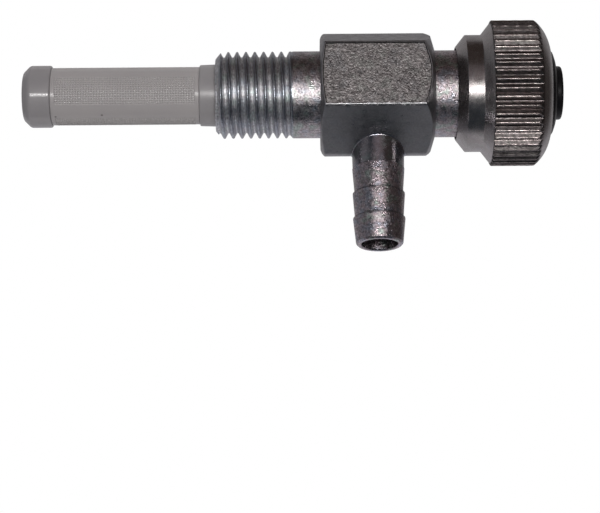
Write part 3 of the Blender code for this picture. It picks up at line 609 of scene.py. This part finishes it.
def tarnish_group():
    """Colour of a plated surface: faint pink, green and blue clouds, and a duller tone in patches."""
    inputs = [("Color", "Plate", (0.4, 0.4, 0.4, 1)), ("Color", "Dull", (0.2, 0.2, 0.2, 1))]
    inputs += [("Float", "Dull Share", 0.4), ("Float", "Sheen", 0.2)]
    inputs += [("Float", "Speckle", 0.2), ("Float", "Speckle Size", 0.2 * MM)]
    group, given, result = new_group("plate_colour", inputs, [("Color", "Colour")])
    clouds = on_object(group, "ShaderNodeTexNoise", Scale=420.0, Detail=3.0)
    share = add_node(group, "ShaderNodeMath", operation="MULTIPLY")
    group.links.new(ramped(group, clouds.outputs["Fac"], 0.4, 0.7, kind="SMOOTHSTEP"), share.inputs[0])
    group.links.new(given.outputs["Dull Share"], share.inputs[1])
    plain = mixed(group, share.outputs[0], given.outputs["Plate"], given.outputs["Dull"])
    hues = on_object(group, "ShaderNodeTexNoise", Scale=650.0, Detail=2.0)
    rainbow = add_node(group, "ShaderNodeValToRGB")
    green, blue = rainbow.color_ramp.elements
    green.position, green.color = 0.32, (0.80, 1.0, 0.90, 1)
    blue.position, blue.color = 0.68, (0.74, 0.80, 1.0, 1)
    rainbow.color_ramp.elements.new(0.5).color = (1.0, 0.76, 0.84, 1)
    group.links.new(hues.outputs["Fac"], rainbow.inputs["Fac"])
    tinted = mixed(group, given.outputs["Sheen"], plain, rainbow.outputs["Color"], "MULTIPLY")
    specks = sized_noise(group, given.outputs["Speckle Size"], Detail=1.0)
    scaled = add_node(group, "ShaderNodeMath", operation="MULTIPLY_ADD")
    group.links.new(ramped(group, specks, 0.25, 0.75, -1.0, 1.0), scaled.inputs[0])
    group.links.new(given.outputs["Speckle"], scaled.inputs[1])
    scaled.inputs[2].default_value = 1.0
    speckled = add_node(group, "ShaderNodeVectorMath", operation="SCALE")
    group.links.new(tinted, speckled.inputs[0])
    group.links.new(scaled.outputs[0], speckled.inputs["Scale"])
    group.links.new(speckled.outputs["Vector"], result.inputs["Colour"])
    return group


metal_grain, tool_marks, plate_colour = grain_group(), tool_mark_group(), tarnish_group()


def placed(tree, group, **values):
    """A node group in a material, with its own values."""
    made = add_node(tree, "ShaderNodeGroup", node_tree=group)
    for name, value in values.items():
        made.inputs[name.replace("_", " ")].default_value = value
    return made


def bumped(tree, height, depth, under=None):
    """Normal of a fine relief, which may lie over another one."""
    bump = add_node(tree, "ShaderNodeBump", Strength=1.0, Distance=depth)
    tree.links.new(height, bump.inputs["Height"])
    if under is not None:
        tree.links.new(under, bump.inputs["Normal"])
    return bump.outputs["Normal"]


def roughened(tree, shader, grain, patches, gloss, depth, under=None):
    """Gives a shader a grain's uneven gloss, between two roughnesses, and its fine relief."""
    tree.links.new(ramped(tree, grain.outputs["Patches"], *patches, *gloss), shader.inputs["Roughness"])
    tree.links.new(bumped(tree, grain.outputs["Height"], depth, under), shader.inputs["Normal"])


def plated_metal(name, plate, dull, roughness, grain=0.12 * MM, grain_depth=0.006 * MM, broad_share=0.3,
                 marks=(8000, 60, 60), mark_depth=0.0, sheen=0.2, dull_share=0.5, rough_swing=0.12,
                 speckle=0.2):
    """Plated metal with grain, tool marks, clouds of tarnish and uneven gloss."""
    material, tree, shader = shader_for(name, plate, roughness, 1.0)
    colour = placed(tree, plate_colour, Plate=(*plate, 1), Dull=(*dull, 1), Dull_Share=dull_share,
                    Sheen=sheen, Speckle=speckle, Speckle_Size=1.3 * grain)
    tree.links.new(colour.outputs["Colour"], shader.inputs["Base Color"])
    skin_grain = placed(tree, metal_grain, Fine_Size=grain, Broad_Share=broad_share)
    lines = None
    if mark_depth:
        lines = bumped(tree, placed(tree, tool_marks, Rates=marks).outputs["Height"], mark_depth)
    gloss = (roughness - rough_swing, roughness + rough_swing)
    roughened(tree, shader, skin_grain, (0.3, 0.7), gloss, grain_depth, lines)
    return material


def off_axis(tree, low, high):
    """Share, 0 to 1, that grows with the distance from the tap's axis."""
    flat = on_object(tree, "ShaderNodeVectorMath", operation="MULTIPLY")
    flat.inputs[1].default_value = (0, 1, 1)
    length = add_node(tree, "ShaderNodeVectorMath", operation="LENGTH")
    tree.links.new(flat.outputs["Vector"], length.inputs[0])
    return ramped(tree, length.outputs["Value"], low, high, kind="SMOOTHSTEP")


def retinted(material, share, tint, roughness):
    """Changes the colour and gloss of a metal over a share of its surface: the thread's rubbed crests, and
    the knurl's crests and groove bottoms, lighter than its painted shade.
    """
    tree = material.node_tree
    shader = tree.nodes["Principled BSDF"]
    colour = shader.inputs["Base Color"].links[0].from_socket
    tinted = mixed(tree, share, colour, (*tint, 1), "MULTIPLY")
    tree.links.new(tinted, shader.inputs["Base Color"])
    gloss = add_node(tree, "ShaderNodeMix", data_type="FLOAT")
    tree.links.new(share, gloss.inputs[0])
    tree.links.new(shader.inputs["Roughness"].links[0].from_socket, gloss.inputs[2])
    gloss.inputs[3].default_value = roughness
    tree.links.new(gloss.outputs[0], shader.inputs["Roughness"])


ZINC = (0.37, 0.37, 0.38)
ZINC_DULL = (0.24, 0.245, 0.25)
zinc_smooth = plated_metal("zinc_smooth", ZINC, ZINC_DULL, 0.38, grain=0.2 * MM, grain_depth=0.014 * MM,
                           sheen=0.1, dull_share=0.3, speckle=0.12)
zinc_cast = plated_metal("zinc_rough_cast", (0.42, 0.405, 0.40), (0.25, 0.24, 0.24), 0.46, grain=0.24 * MM,
                         grain_depth=0.12 * MM, broad_share=0.4, sheen=0.12, speckle=0.55)
# Painted shade: a dark zinc for the thin lines of shadow round the front field and at the lower barbs' edges.
painted_shade_zinc = plated_metal("zinc_painted_shade", (0.10, 0.10, 0.10), (0.06, 0.06, 0.06), 0.6,
                           grain_depth=0.02 * MM)
zinc_turned = plated_metal("zinc_turned", (0.53, 0.53, 0.53), (0.25, 0.255, 0.26), 0.33, grain=0.20 * MM,
                           grain_depth=0.09 * MM, mark_depth=0.018 * MM, marks=(6000, 120, 120), sheen=0.45,
                           dull_share=0.45, speckle=0.5)
zinc_neck = plated_metal("zinc_neck", (0.50, 0.49, 0.49), ZINC_DULL, 0.33, grain=0.19 * MM,
                         grain_depth=0.10 * MM, mark_depth=0.016 * MM, marks=(6000, 120, 120), sheen=0.55,
                         speckle=0.45)
zinc_thread = plated_metal("zinc_thread", (0.74, 0.76, 0.77), (0.46, 0.47, 0.48), 0.44, grain=0.24 * MM,
                           grain_depth=0.06 * MM, dull_share=0.35, speckle=0.35)
retinted(zinc_thread, off_axis(zinc_thread.node_tree, *THREAD_RUBBED), (0.60, 0.62, 0.66), 0.27)
zinc_root = plated_metal("zinc_tail_root", (0.40, 0.40, 0.42), (0.27, 0.27, 0.29), 0.22, grain=0.26 * MM,
                         grain_depth=0.035 * MM, sheen=0.35, dull_share=0.3, speckle=0.15)
zinc_tail = plated_metal("zinc_tail", (0.50, 0.49, 0.495), (0.27, 0.27, 0.28), 0.27, grain=0.19 * MM,
                         grain_depth=0.10 * MM, mark_depth=0.010 * MM, marks=(2600, 2600, 120), sheen=0.6,
                         speckle=0.6)

nipple_points, nipple_faces = nipple_skin()
is_thread = nipple_points[nipple_faces].mean(axis=1)[:, 0] < 0.05 * MM - PLAIN_SHANK
tail_points, tail_faces = tail_skin()
tail_depths = -tail_points[tail_faces].mean(axis=1)[:, 2]
# Painted shade: dark strips at the edges of the lower barbs.
over, under = BARB_SHADE
is_barb_shade = sum((tail_depths > step - over) & (tail_depths < step + under) for step in BARB_STEPS[1:]) > 0
tail_finish = np.where(is_barb_shade, PAINTED_SHADE, np.where(tail_depths > BARB_STEPS[0], TAIL, ROOT))
tap_body = make_piece(
    "tap_body_dressed",
    [
        hexagon_skin(),
        (nipple_points, nipple_faces, np.where(is_thread, THREAD, TURNED)),
        (*neck_skin(), NECK),
        (tail_points, tail_faces, tail_finish),
    ],
    [zinc_smooth, zinc_cast, zinc_turned, zinc_thread, zinc_root, zinc_tail, painted_shade_zinc, zinc_neck],
)
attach(tap_body, "tap")
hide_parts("tap_body")


# Strainer frame. One moulding in milky nylon, pushed into the nipple: a closed round tip, four ribs with long
# windows between them, and a collar that grips the socket.
STRAINER_TIP = -44.9 * MM
STRAINER_INNER = -10.2 * MM
GAUZE_START = -40.6 * MM
GAUZE_END = -18.2 * MM
COLLAR_RADIUS = 4.7 * MM
TIP_ROUND = 1.1 * MM
TIP_FLOOR = 2.5 * MM
RIB_OUTER = 3.69 * MM
RIB_INNER = 2.89 * MM
RIB_SUNK = 0.4 * MM  # each end of a rib, inside the tip or the collar
RIB_LEDGE = 0.05 * MM
WINDOW_HALF = 1.7 * MM
WINDOW_MARGIN = 0.7 * MM
WINDOW_ROLL = math.radians(-9.3)  # middle of the front window, below the front
NYLON = (0.215, 0.207, 0.215)


def nylon_finish(name, colour, pale, roughness, scratch, coat, coat_roughness=0.07):
    """Milky nylon with a soft gloss, faint flow clouds, small dents and a few dark specks."""
    material, tree, shader = shader_for(name, colour, roughness, 0.0)
    shader.inputs["Coat Weight"].default_value = coat
    shader.inputs["Coat Roughness"].default_value = coat_roughness
    clouds = on_object(tree, "ShaderNodeTexNoise", Scale=260.0, Detail=3.0)
    milky = mixed(tree, clouds.outputs["Fac"], (*colour, 1), (*pale, 1))
    specks = on_object(tree, "ShaderNodeTexVoronoi", Scale=230.0, feature="F1")
    near = ramped(tree, specks.outputs["Distance"], 0.035, 0.055, 0.8, 0.0)
    tree.links.new(mixed(tree, near, milky, (0.05, 0.04, 0.04, 1)), shader.inputs["Base Color"])
    dents = placed(tree, metal_grain, Fine_Size=0.25 * MM, Broad_Size=1.6 * MM, Broad_Share=0.5)
    roughened(tree, shader, dents, (0.35, 0.65), (roughness - 0.06, roughness + 0.1), scratch)
    return material


def curved_bar(middle, half_angles, radii, low, high, steps=10, edge=0.08 * MM):
    """Bar along the axis: its section is an arc with soft edges and a half angle for each of its radii."""
    inner, outer = radii
    section = [(inner, share * half_angles[0]) for share in np.linspace(-1, 1, steps)]
    section += [(outer, share * half_angles[1]) for share in np.linspace(1, -1, steps)]
    corners = np.array([(radius * math.sin(a), radius * math.cos(a)) for radius, a in section])
    loop = np.concatenate([corners[-1:], corners, corners[:1]])
    edges = [edge if k in (1, steps, steps + 1, 2 * steps) else 0 for k in range(len(loop))]
    soft = rounded(loop, edges, 3)[1:-1]
    radius, angle = np.hypot(soft[:, 0], soft[:, 1]), np.arctan2(soft[:, 0], soft[:, 1]) + middle
    stations = np.linspace(low, high, 24)
    rings = around_axis(stations[:, None], radius[None, :], angle[None, :])
    ends = [np.broadcast_to(rings[k].mean(axis=0), rings[k].shape) for k in (0, -1)]
    return skin(np.concatenate([ends[:1], rings, ends[1:]]), closed=False)


def strainer_skins(sides=96):
    """Tip and collar, turned, and the four ribs between them."""
    tip = rounded(
        [
            (STRAINER_TIP + TIP_FLOOR, 0.0),
            (STRAINER_TIP + TIP_FLOOR, RIB_INNER),
            (GAUZE_START + RIB_LEDGE, RIB_INNER),
            (GAUZE_START + RIB_LEDGE, RIB_OUTER),
            (GAUZE_START, RIB_OUTER),
            (GAUZE_START, COLLAR_RADIUS),
            (STRAINER_TIP + TIP_ROUND, COLLAR_RADIUS),
            (STRAINER_TIP, COLLAR_RADIUS - TIP_ROUND),
            (STRAINER_TIP, 0.0),
        ],
        [0, 0.3 * MM, 0, 0, 0.05 * MM, 0.3 * MM, 0.8 * MM, 0.8 * MM, 0],
        8,
    )
    collar = rounded(
        [
            (GAUZE_END, RIB_INNER),
            (GAUZE_END, COLLAR_RADIUS - 0.08 * MM),
            (NIPPLE_FACE, COLLAR_RADIUS),
            (STRAINER_INNER, COLLAR_RADIUS),
            (STRAINER_INNER, RIB_INNER),
        ],
        [0, 0.18 * MM, 0, 0.15 * MM, 0],
    )
    skins = [(*skin(turned(filled(tip, 0.5 * MM), sides), closed=False), 0)]
    skins.append((*skin(turned(filled(collar, 0.5 * MM), sides)), 1))
    for quarter in range(4):
        middle = WINDOW_ROLL + math.pi / 4 + math.pi / 2 * quarter
        halves = [math.pi / 4 - math.asin(WINDOW_HALF / radius) for radius in (RIB_INNER, RIB_OUTER)]
        bar = curved_bar(middle, halves, (RIB_INNER, RIB_OUTER), GAUZE_START - RIB_SUNK, GAUZE_END + RIB_SUNK)
        skins.append((*bar, 0))
    return skins


nylon = nylon_finish("milky_nylon", NYLON, (0.245, 0.235, 0.247), 0.4, 0.010 * MM, 1.0)
scuffed_nylon = nylon_finish("scuffed_nylon", NYLON, (0.255, 0.245, 0.255), 0.42, 0.030 * MM, 0.9, 0.28)
strainer_frame = make_piece("strainer_frame_dressed", strainer_skins(), [nylon, scuffed_nylon])
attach(strainer_frame, "tap")
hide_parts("strainer_frame")


# Strainer gauze. A sleeve round the ribs: fine nylon gauze, woven over and under, fused to plain strips that
# lie over the ribs and to a plain band at each end.
GAUZE_OUTER = 4.34 * MM
GAUZE_INNER = 3.99 * MM
GAUZE_GAP = 0.02 * MM
NET_PITCH = 0.40 * MM
NET_THREAD = 0.39 * MM
NET_WAVE = 0.02 * MM
NET_SIDES = 5
NET_COUNT = 11  # threads along each window
NET_RADIUS = (GAUZE_OUTER + GAUZE_INNER) / 2 - 0.02 * MM
NET_REACH = 0.06  # radians that a cross thread runs in under the strips
STRIP_REACH = 0.1 * MM


def net_thread(stations, radii, angles, tangent_x):
    """Round thread along a path near the sleeve."""
    half = NET_THREAD / 2
    rings = []
    for k in range(NET_SIDES):
        turn = 2 * math.pi * k / NET_SIDES
        lift, side = half * math.cos(turn), half * math.sin(turn)
        if tangent_x:
            rings.append(around_axis(stations, radii + lift, angles + side / radii))
        else:
            rings.append(around_axis(stations + side, radii + lift, angles))
    return skin(np.array(rings).transpose(1, 0, 2), closed=False)


def gauze_skins():
    """End bands, the strips over the ribs, and the threads of each window."""
    low, high = GAUZE_START + WINDOW_MARGIN, GAUZE_END - WINDOW_MARGIN
    half_window = math.asin(WINDOW_HALF / RIB_OUTER)
    skins = []
    for start, end in ((GAUZE_START + GAUZE_GAP, low), (high, GAUZE_END - GAUZE_GAP)):
        band = [(start, GAUZE_INNER), (start, GAUZE_OUTER), (end, GAUZE_OUTER), (end, GAUZE_INNER)]
        band = rounded(band + band[:1], [0, 0.06 * MM, 0.1 * MM, 0, 0])[:-1]
        skins.append((*skin(turned(band, 128)), 0))
    rows = int((high - low) / NET_PITCH)
    for quarter in range(4):
        middle = WINDOW_ROLL + math.pi / 2 * quarter
        strip = curved_bar(middle + math.pi / 4, [math.pi / 4 - half_window] * 2, (GAUZE_INNER, GAUZE_OUTER),
                           low - STRIP_REACH, high + STRIP_REACH, 8, 0.1 * MM)
        skins.append((*strip, 0))
        reach = half_window + NET_REACH
        spacing = 2 * half_window / NET_COUNT
        angles = np.linspace(middle - reach, middle + reach, 4 * NET_COUNT)
        for row in range(rows + 1):
            stations = np.full_like(angles, low + (high - low) * (row + 0.5) / (rows + 1))
            wave = NET_WAVE * np.cos(math.pi * ((angles - middle) / spacing + row))
            skins.append((*net_thread(stations, NET_RADIUS + wave, angles, False), 1))
        stations = np.linspace(low, high, 2 * rows)
        crossings = (stations - low) / (high - low) * (rows + 1) - 0.5
        for k in range(NET_COUNT):
            angle = middle + (k + 0.5 - NET_COUNT / 2) * spacing
            wave = -NET_WAVE * np.cos(math.pi * (crossings + k + 0.5 * NET_COUNT + 0.5))
            path = np.full_like(stations, angle)
            skins.append((*net_thread(stations, NET_RADIUS + wave, path, True), 1))
    return skins


gauze_strip = nylon_finish("gauze_strip_nylon", (0.285, 0.272, 0.28), (0.325, 0.308, 0.31), 0.4, 0.014 * MM,
                           0.8, 0.14)
gauze_thread = nylon_finish("gauze_thread_nylon", (0.315, 0.303, 0.308), (0.355, 0.338, 0.34), 0.5,
                            0.006 * MM, 0.6, 0.12)
strainer_gauze = make_piece(
    "strainer_gauze_woven", gauze_skins(), [gauze_strip, gauze_thread], math.radians(80)
)
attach(strainer_gauze, "tap")
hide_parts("strainer_gauze")


# Knob. Turned from brass bar, cross-cut with a coarse straight knurl and nickel plated. Its thread runs on
# the neck, and its web inside draws the spindle.
KNOB_MOUTH = 20.5 * MM
KNOB_BORE = 6.88 * MM
KNOB_MOUTH_RADIUS = 7.08 * MM
HUB_START = 21.9 * MM
HUB_END = 24.3 * MM
HUB_RADIUS = 8.85 * MM
FLARE_END = 25.6 * MM
KNURL_START = 25.65 * MM
KNURL_END = 32.5 * MM
KNURL_RADIUS = 11.05 * MM
KNURL_DEPTH = 0.52 * MM
KNURL_TEETH = 52
DOME_END = 34.6 * MM
DOME_BULGE = 0.42 * MM
RECESS_RADIUS = 7.0 * MM
WEB_OUTER = 31.65 * MM
WEB_INNER = 29.85 * MM
ROD_CLEAR = 2.3 * MM
RECESS_CHAMFER = 0.12 * MM
TOOTH_PHASES = (-0.5, -0.42, -0.3, -0.19, -0.12, -0.06, 0.0, 0.06, 0.12, 0.19, 0.3, 0.42)
TOOTH_CREST = 0.07  # where a crest ends and where its groove is full, as shares of the teeth's pitch
TOOTH_FLANK = 0.37
PITCH_ERROR = 0.035
DEPTH_ERROR = 0.12
CREST_WEAR = 0.035 * MM
CREST_ROUND = 0.03 * MM


def bowed(start, end, bulge, steps):
    """Points of a shallow arc between two points, bowed to its left."""
    start, end = np.array(start), np.array(end)
    along = end - start
    side = np.array([-along[1], along[0]]) / np.hypot(*along)
    return [tuple(start + along * t + side * bulge * 4 * t * (1 - t)) for t in np.linspace(0, 1, steps)]


def knob_skin():
    """Knob with its knurl: each tooth a little uneven, round on its crest, run out into the domed end."""
    uneven = np.random.default_rng(11)
    pitch = 2 * math.pi / KNURL_TEETH
    tooth = np.repeat(np.arange(KNURL_TEETH), len(TOOTH_PHASES))
    phase = np.tile(TOOTH_PHASES, KNURL_TEETH)
    shift = uneven.uniform(-PITCH_ERROR, PITCH_ERROR, KNURL_TEETH)[tooth] * pitch * (phase > -0.45)
    angles = (tooth + phase) * pitch + FRONT + shift
    outline = [(KNOB_MOUTH, KNOB_BORE), (KNOB_MOUTH, KNOB_MOUTH_RADIUS), (HUB_START, HUB_RADIUS)]
    outline += [(HUB_END, HUB_RADIUS), (FLARE_END, KNURL_RADIUS - KNURL_DEPTH - 0.02 * MM)]
    outline += [(KNURL_START, KNURL_RADIUS - KNURL_DEPTH)]
    outline = filled(rounded(outline, [0, 0.08 * MM, 0.14 * MM, 0.16 * MM, 0.03 * MM, 0]), 0.3 * MM)
    bevel = [(KNURL_START + 0.28 * MM * t, KNURL_RADIUS - KNURL_DEPTH * (1 - math.sin(math.pi / 2 * t)))
             for t in np.linspace(0.1, 1, 7)]
    middle = np.linspace(KNURL_START + 0.5 * MM, KNURL_END - 0.5 * MM, 24)
    straight = [(station, KNURL_RADIUS) for station in middle]
    rim = (DOME_END, RECESS_RADIUS + RECESS_CHAMFER)
    dome = bowed((KNURL_END - 0.25 * MM, KNURL_RADIUS), rim, DOME_BULGE, 30)
    inside = [
        rim,
        (DOME_END, RECESS_RADIUS),
        (WEB_OUTER, RECESS_RADIUS),
        (WEB_OUTER, ROD_CLEAR),
        (WEB_INNER, ROD_CLEAR),
        (WEB_INNER, KNOB_BORE),
    ]
    outline = np.concatenate([outline, bevel, straight, dome, inside])
    stations, radii = outline[:, :1], outline[:, 1:]
    depth = KNURL_DEPTH * (1 + uneven.uniform(-DEPTH_ERROR, DEPTH_ERROR, KNURL_TEETH)[tooth])
    crest = np.clip((np.abs(phase) - TOOTH_CREST) / TOOTH_FLANK, 0, 1) ** 0.9
    wear = uneven.uniform(0, CREST_WEAR, KNURL_TEETH)[tooth]
    cut = wear + depth * crest + CREST_ROUND * np.clip(np.abs(phase) / 0.12, 0, 1) ** 2
    drift = 0.02 * MM * np.sin(stations / MM * 1.7 + tooth[None, :] * 2.1) * (1 - crest)
    knurled = (KNURL_RADIUS - cut)[None, :] - np.abs(drift)
    in_knurl = (stations > FLARE_END + 0.1 * MM) & (radii > RECESS_RADIUS + 1.0 * MM)
    radii = np.where(in_knurl, np.minimum(radii, knurled), radii)
    points, faces = skin(around_axis(stations, radii, angles[None, :]))
    middles = points[faces].mean(axis=1)
    reach = np.hypot(middles[:, 1], middles[:, 2])
    is_cut = (middles[:, 0] > KNURL_START) & (reach > KNURL_RADIUS - 1.2 * KNURL_DEPTH)
    return points, faces, is_cut.astype(int)


NICKEL = (0.40, 0.38, 0.375)
nickel = plated_metal("nickel_plate", NICKEL, (0.29, 0.265, 0.26), 0.27, grain=0.3 * MM,
                      mark_depth=0.022 * MM, marks=(6000, 40, 40), sheen=0.12, dull_share=0.4,
                      rough_swing=0.06, speckle=0.08)
# Painted shade: the knurl's flanks are painted dark for the shade deep between its teeth.
knurl_painted_shade = plated_metal("nickel_knurl_painted_shade", (0.135, 0.124, 0.121), (0.08, 0.07, 0.068), 0.42, grain=0.3 * MM,
                          grain_depth=0.05 * MM, mark_depth=0.03 * MM, marks=(900, 5000, 5000), sheen=0.15,
                          speckle=0.4)
# Its crests are lifted back to about the plate's tone, and its groove bottoms part way, so that thin lines
# show along them.
crests = off_axis(knurl_painted_shade.node_tree, KNURL_RADIUS - 0.20 * MM, KNURL_RADIUS - 0.05 * MM)
grooves = off_axis(knurl_painted_shade.node_tree, KNURL_RADIUS - 0.42 * MM, KNURL_RADIUS - 0.50 * MM)
retinted(knurl_painted_shade, crests, (3.2, 3.1, 3.05), 0.26)
retinted(knurl_painted_shade, grooves, (1.6, 1.55, 1.55), 0.26)
knob = make_piece("knob_knurled", [knob_skin()], [nickel, knurl_painted_shade], math.radians(50))
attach(knob, "knob")
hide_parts("knob")


# Knob cap. Moulded in black plastic with a domed end and a round boss, and pressed into the knob's end over
# the spindle's clip.
CAP_RADIUS = 6.7 * MM
CAP_WALL = 1.0 * MM
CAP_SKIRT = 31.95 * MM
CAP_DOME_TOP = 35.55 * MM
CAP_BOSS_RADIUS = 4.05 * MM
CAP_BOSS_TOP = 36.5 * MM


def cap_skin(sides=128):
    """Thin cap with its skirt, turned about the axis."""
    outline = [
        (CAP_BOSS_TOP - CAP_WALL, 0.0),
        (CAP_BOSS_TOP - CAP_WALL, CAP_BOSS_RADIUS - CAP_WALL),
        (DOME_END - CAP_WALL, CAP_RADIUS - CAP_WALL),
        (CAP_SKIRT, CAP_RADIUS - CAP_WALL),
        (CAP_SKIRT, CAP_RADIUS),
        (DOME_END, CAP_RADIUS),
        (DOME_END + 0.45 * MM, 6.2 * MM),
        (CAP_DOME_TOP - 0.15 * MM, 5.2 * MM),
        (CAP_DOME_TOP, CAP_BOSS_RADIUS + 0.02 * MM),
        (CAP_BOSS_TOP, CAP_BOSS_RADIUS),
        (CAP_BOSS_TOP, 0.0),
    ]
    radii = [0, 0.2 * MM, 0.3 * MM, 0.1 * MM, 0.1 * MM, 0.15 * MM, 0.5 * MM, 2.0 * MM, 0.12 * MM, 0.5 * MM, 0]
    return skin(turned(filled(rounded(outline, radii, 7), 0.4 * MM), sides), closed=False)


def black_moulding(name, colour, tones, roughness, gloss, sizes, depth, specular=0.5):
    """Moulded black plastic or rubber: patches of two tones and uneven gloss, and a fine grain."""
    material, tree, shader = shader_for(name, colour, roughness, 0.0)
    shader.inputs["Specular IOR Level"].default_value = specular
    grain = placed(tree, metal_grain, Fine_Size=sizes[0], Broad_Size=sizes[1], Broad_Share=0.4)
    tone = mixed(tree, grain.outputs["Patches"], (*tones[0], 1), (*tones[1], 1))
    tree.links.new(tone, shader.inputs["Base Color"])
    roughened(tree, shader, grain, (0.0, 1.0), gloss, depth)
    return material


black_plastic = black_moulding("black_plastic", (0.006, 0.006, 0.007),
                               ((0.004, 0.004, 0.005), (0.008, 0.007, 0.008)), 0.4, (0.22, 0.5),
                               (0.2 * MM, 1.4 * MM), 0.003 * MM, specular=0.2)
knob_cap = make_piece("knob_cap_moulded", [(*cap_skin(), 0)], [black_plastic])
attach(knob_cap, "knob")
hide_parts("knob_cap")


# Spindle, its washer, clip, screw, seal and rings. Turned brass, plain steel and black rubber; they sit
# inside the body and the knob, and keep the shapes of their solids.
brass = plated_metal("turned_brass", (0.58, 0.42, 0.17), (0.36, 0.25, 0.10), 0.28, grain_depth=0.003 * MM,
                     mark_depth=0.004 * MM, sheen=0.05)
steel = plated_metal("plain_steel", (0.47, 0.47, 0.48), (0.28, 0.28, 0.29), 0.32, grain_depth=0.003 * MM,
                     sheen=0.05)
rubber = black_moulding("black_rubber", (0.02, 0.02, 0.02), ((0.014, 0.014, 0.014), (0.035, 0.034, 0.033)),
                        0.7, (0.55, 0.85), (0.1 * MM, 0.8 * MM), 0.004 * MM)
INNER_FINISHES = {
    "spindle": brass,
    "valve_seal": rubber,
    "seal_screw": steel,
    "front_sealing_ring": rubber,
    "rear_sealing_ring": rubber,
    "thrust_washer": steel,
    "retaining_clip": steel,
}
for name, finish in INNER_FINISHES.items():
    nodes[name].data.materials.clear()
    nodes[name].data.materials.append(finish)
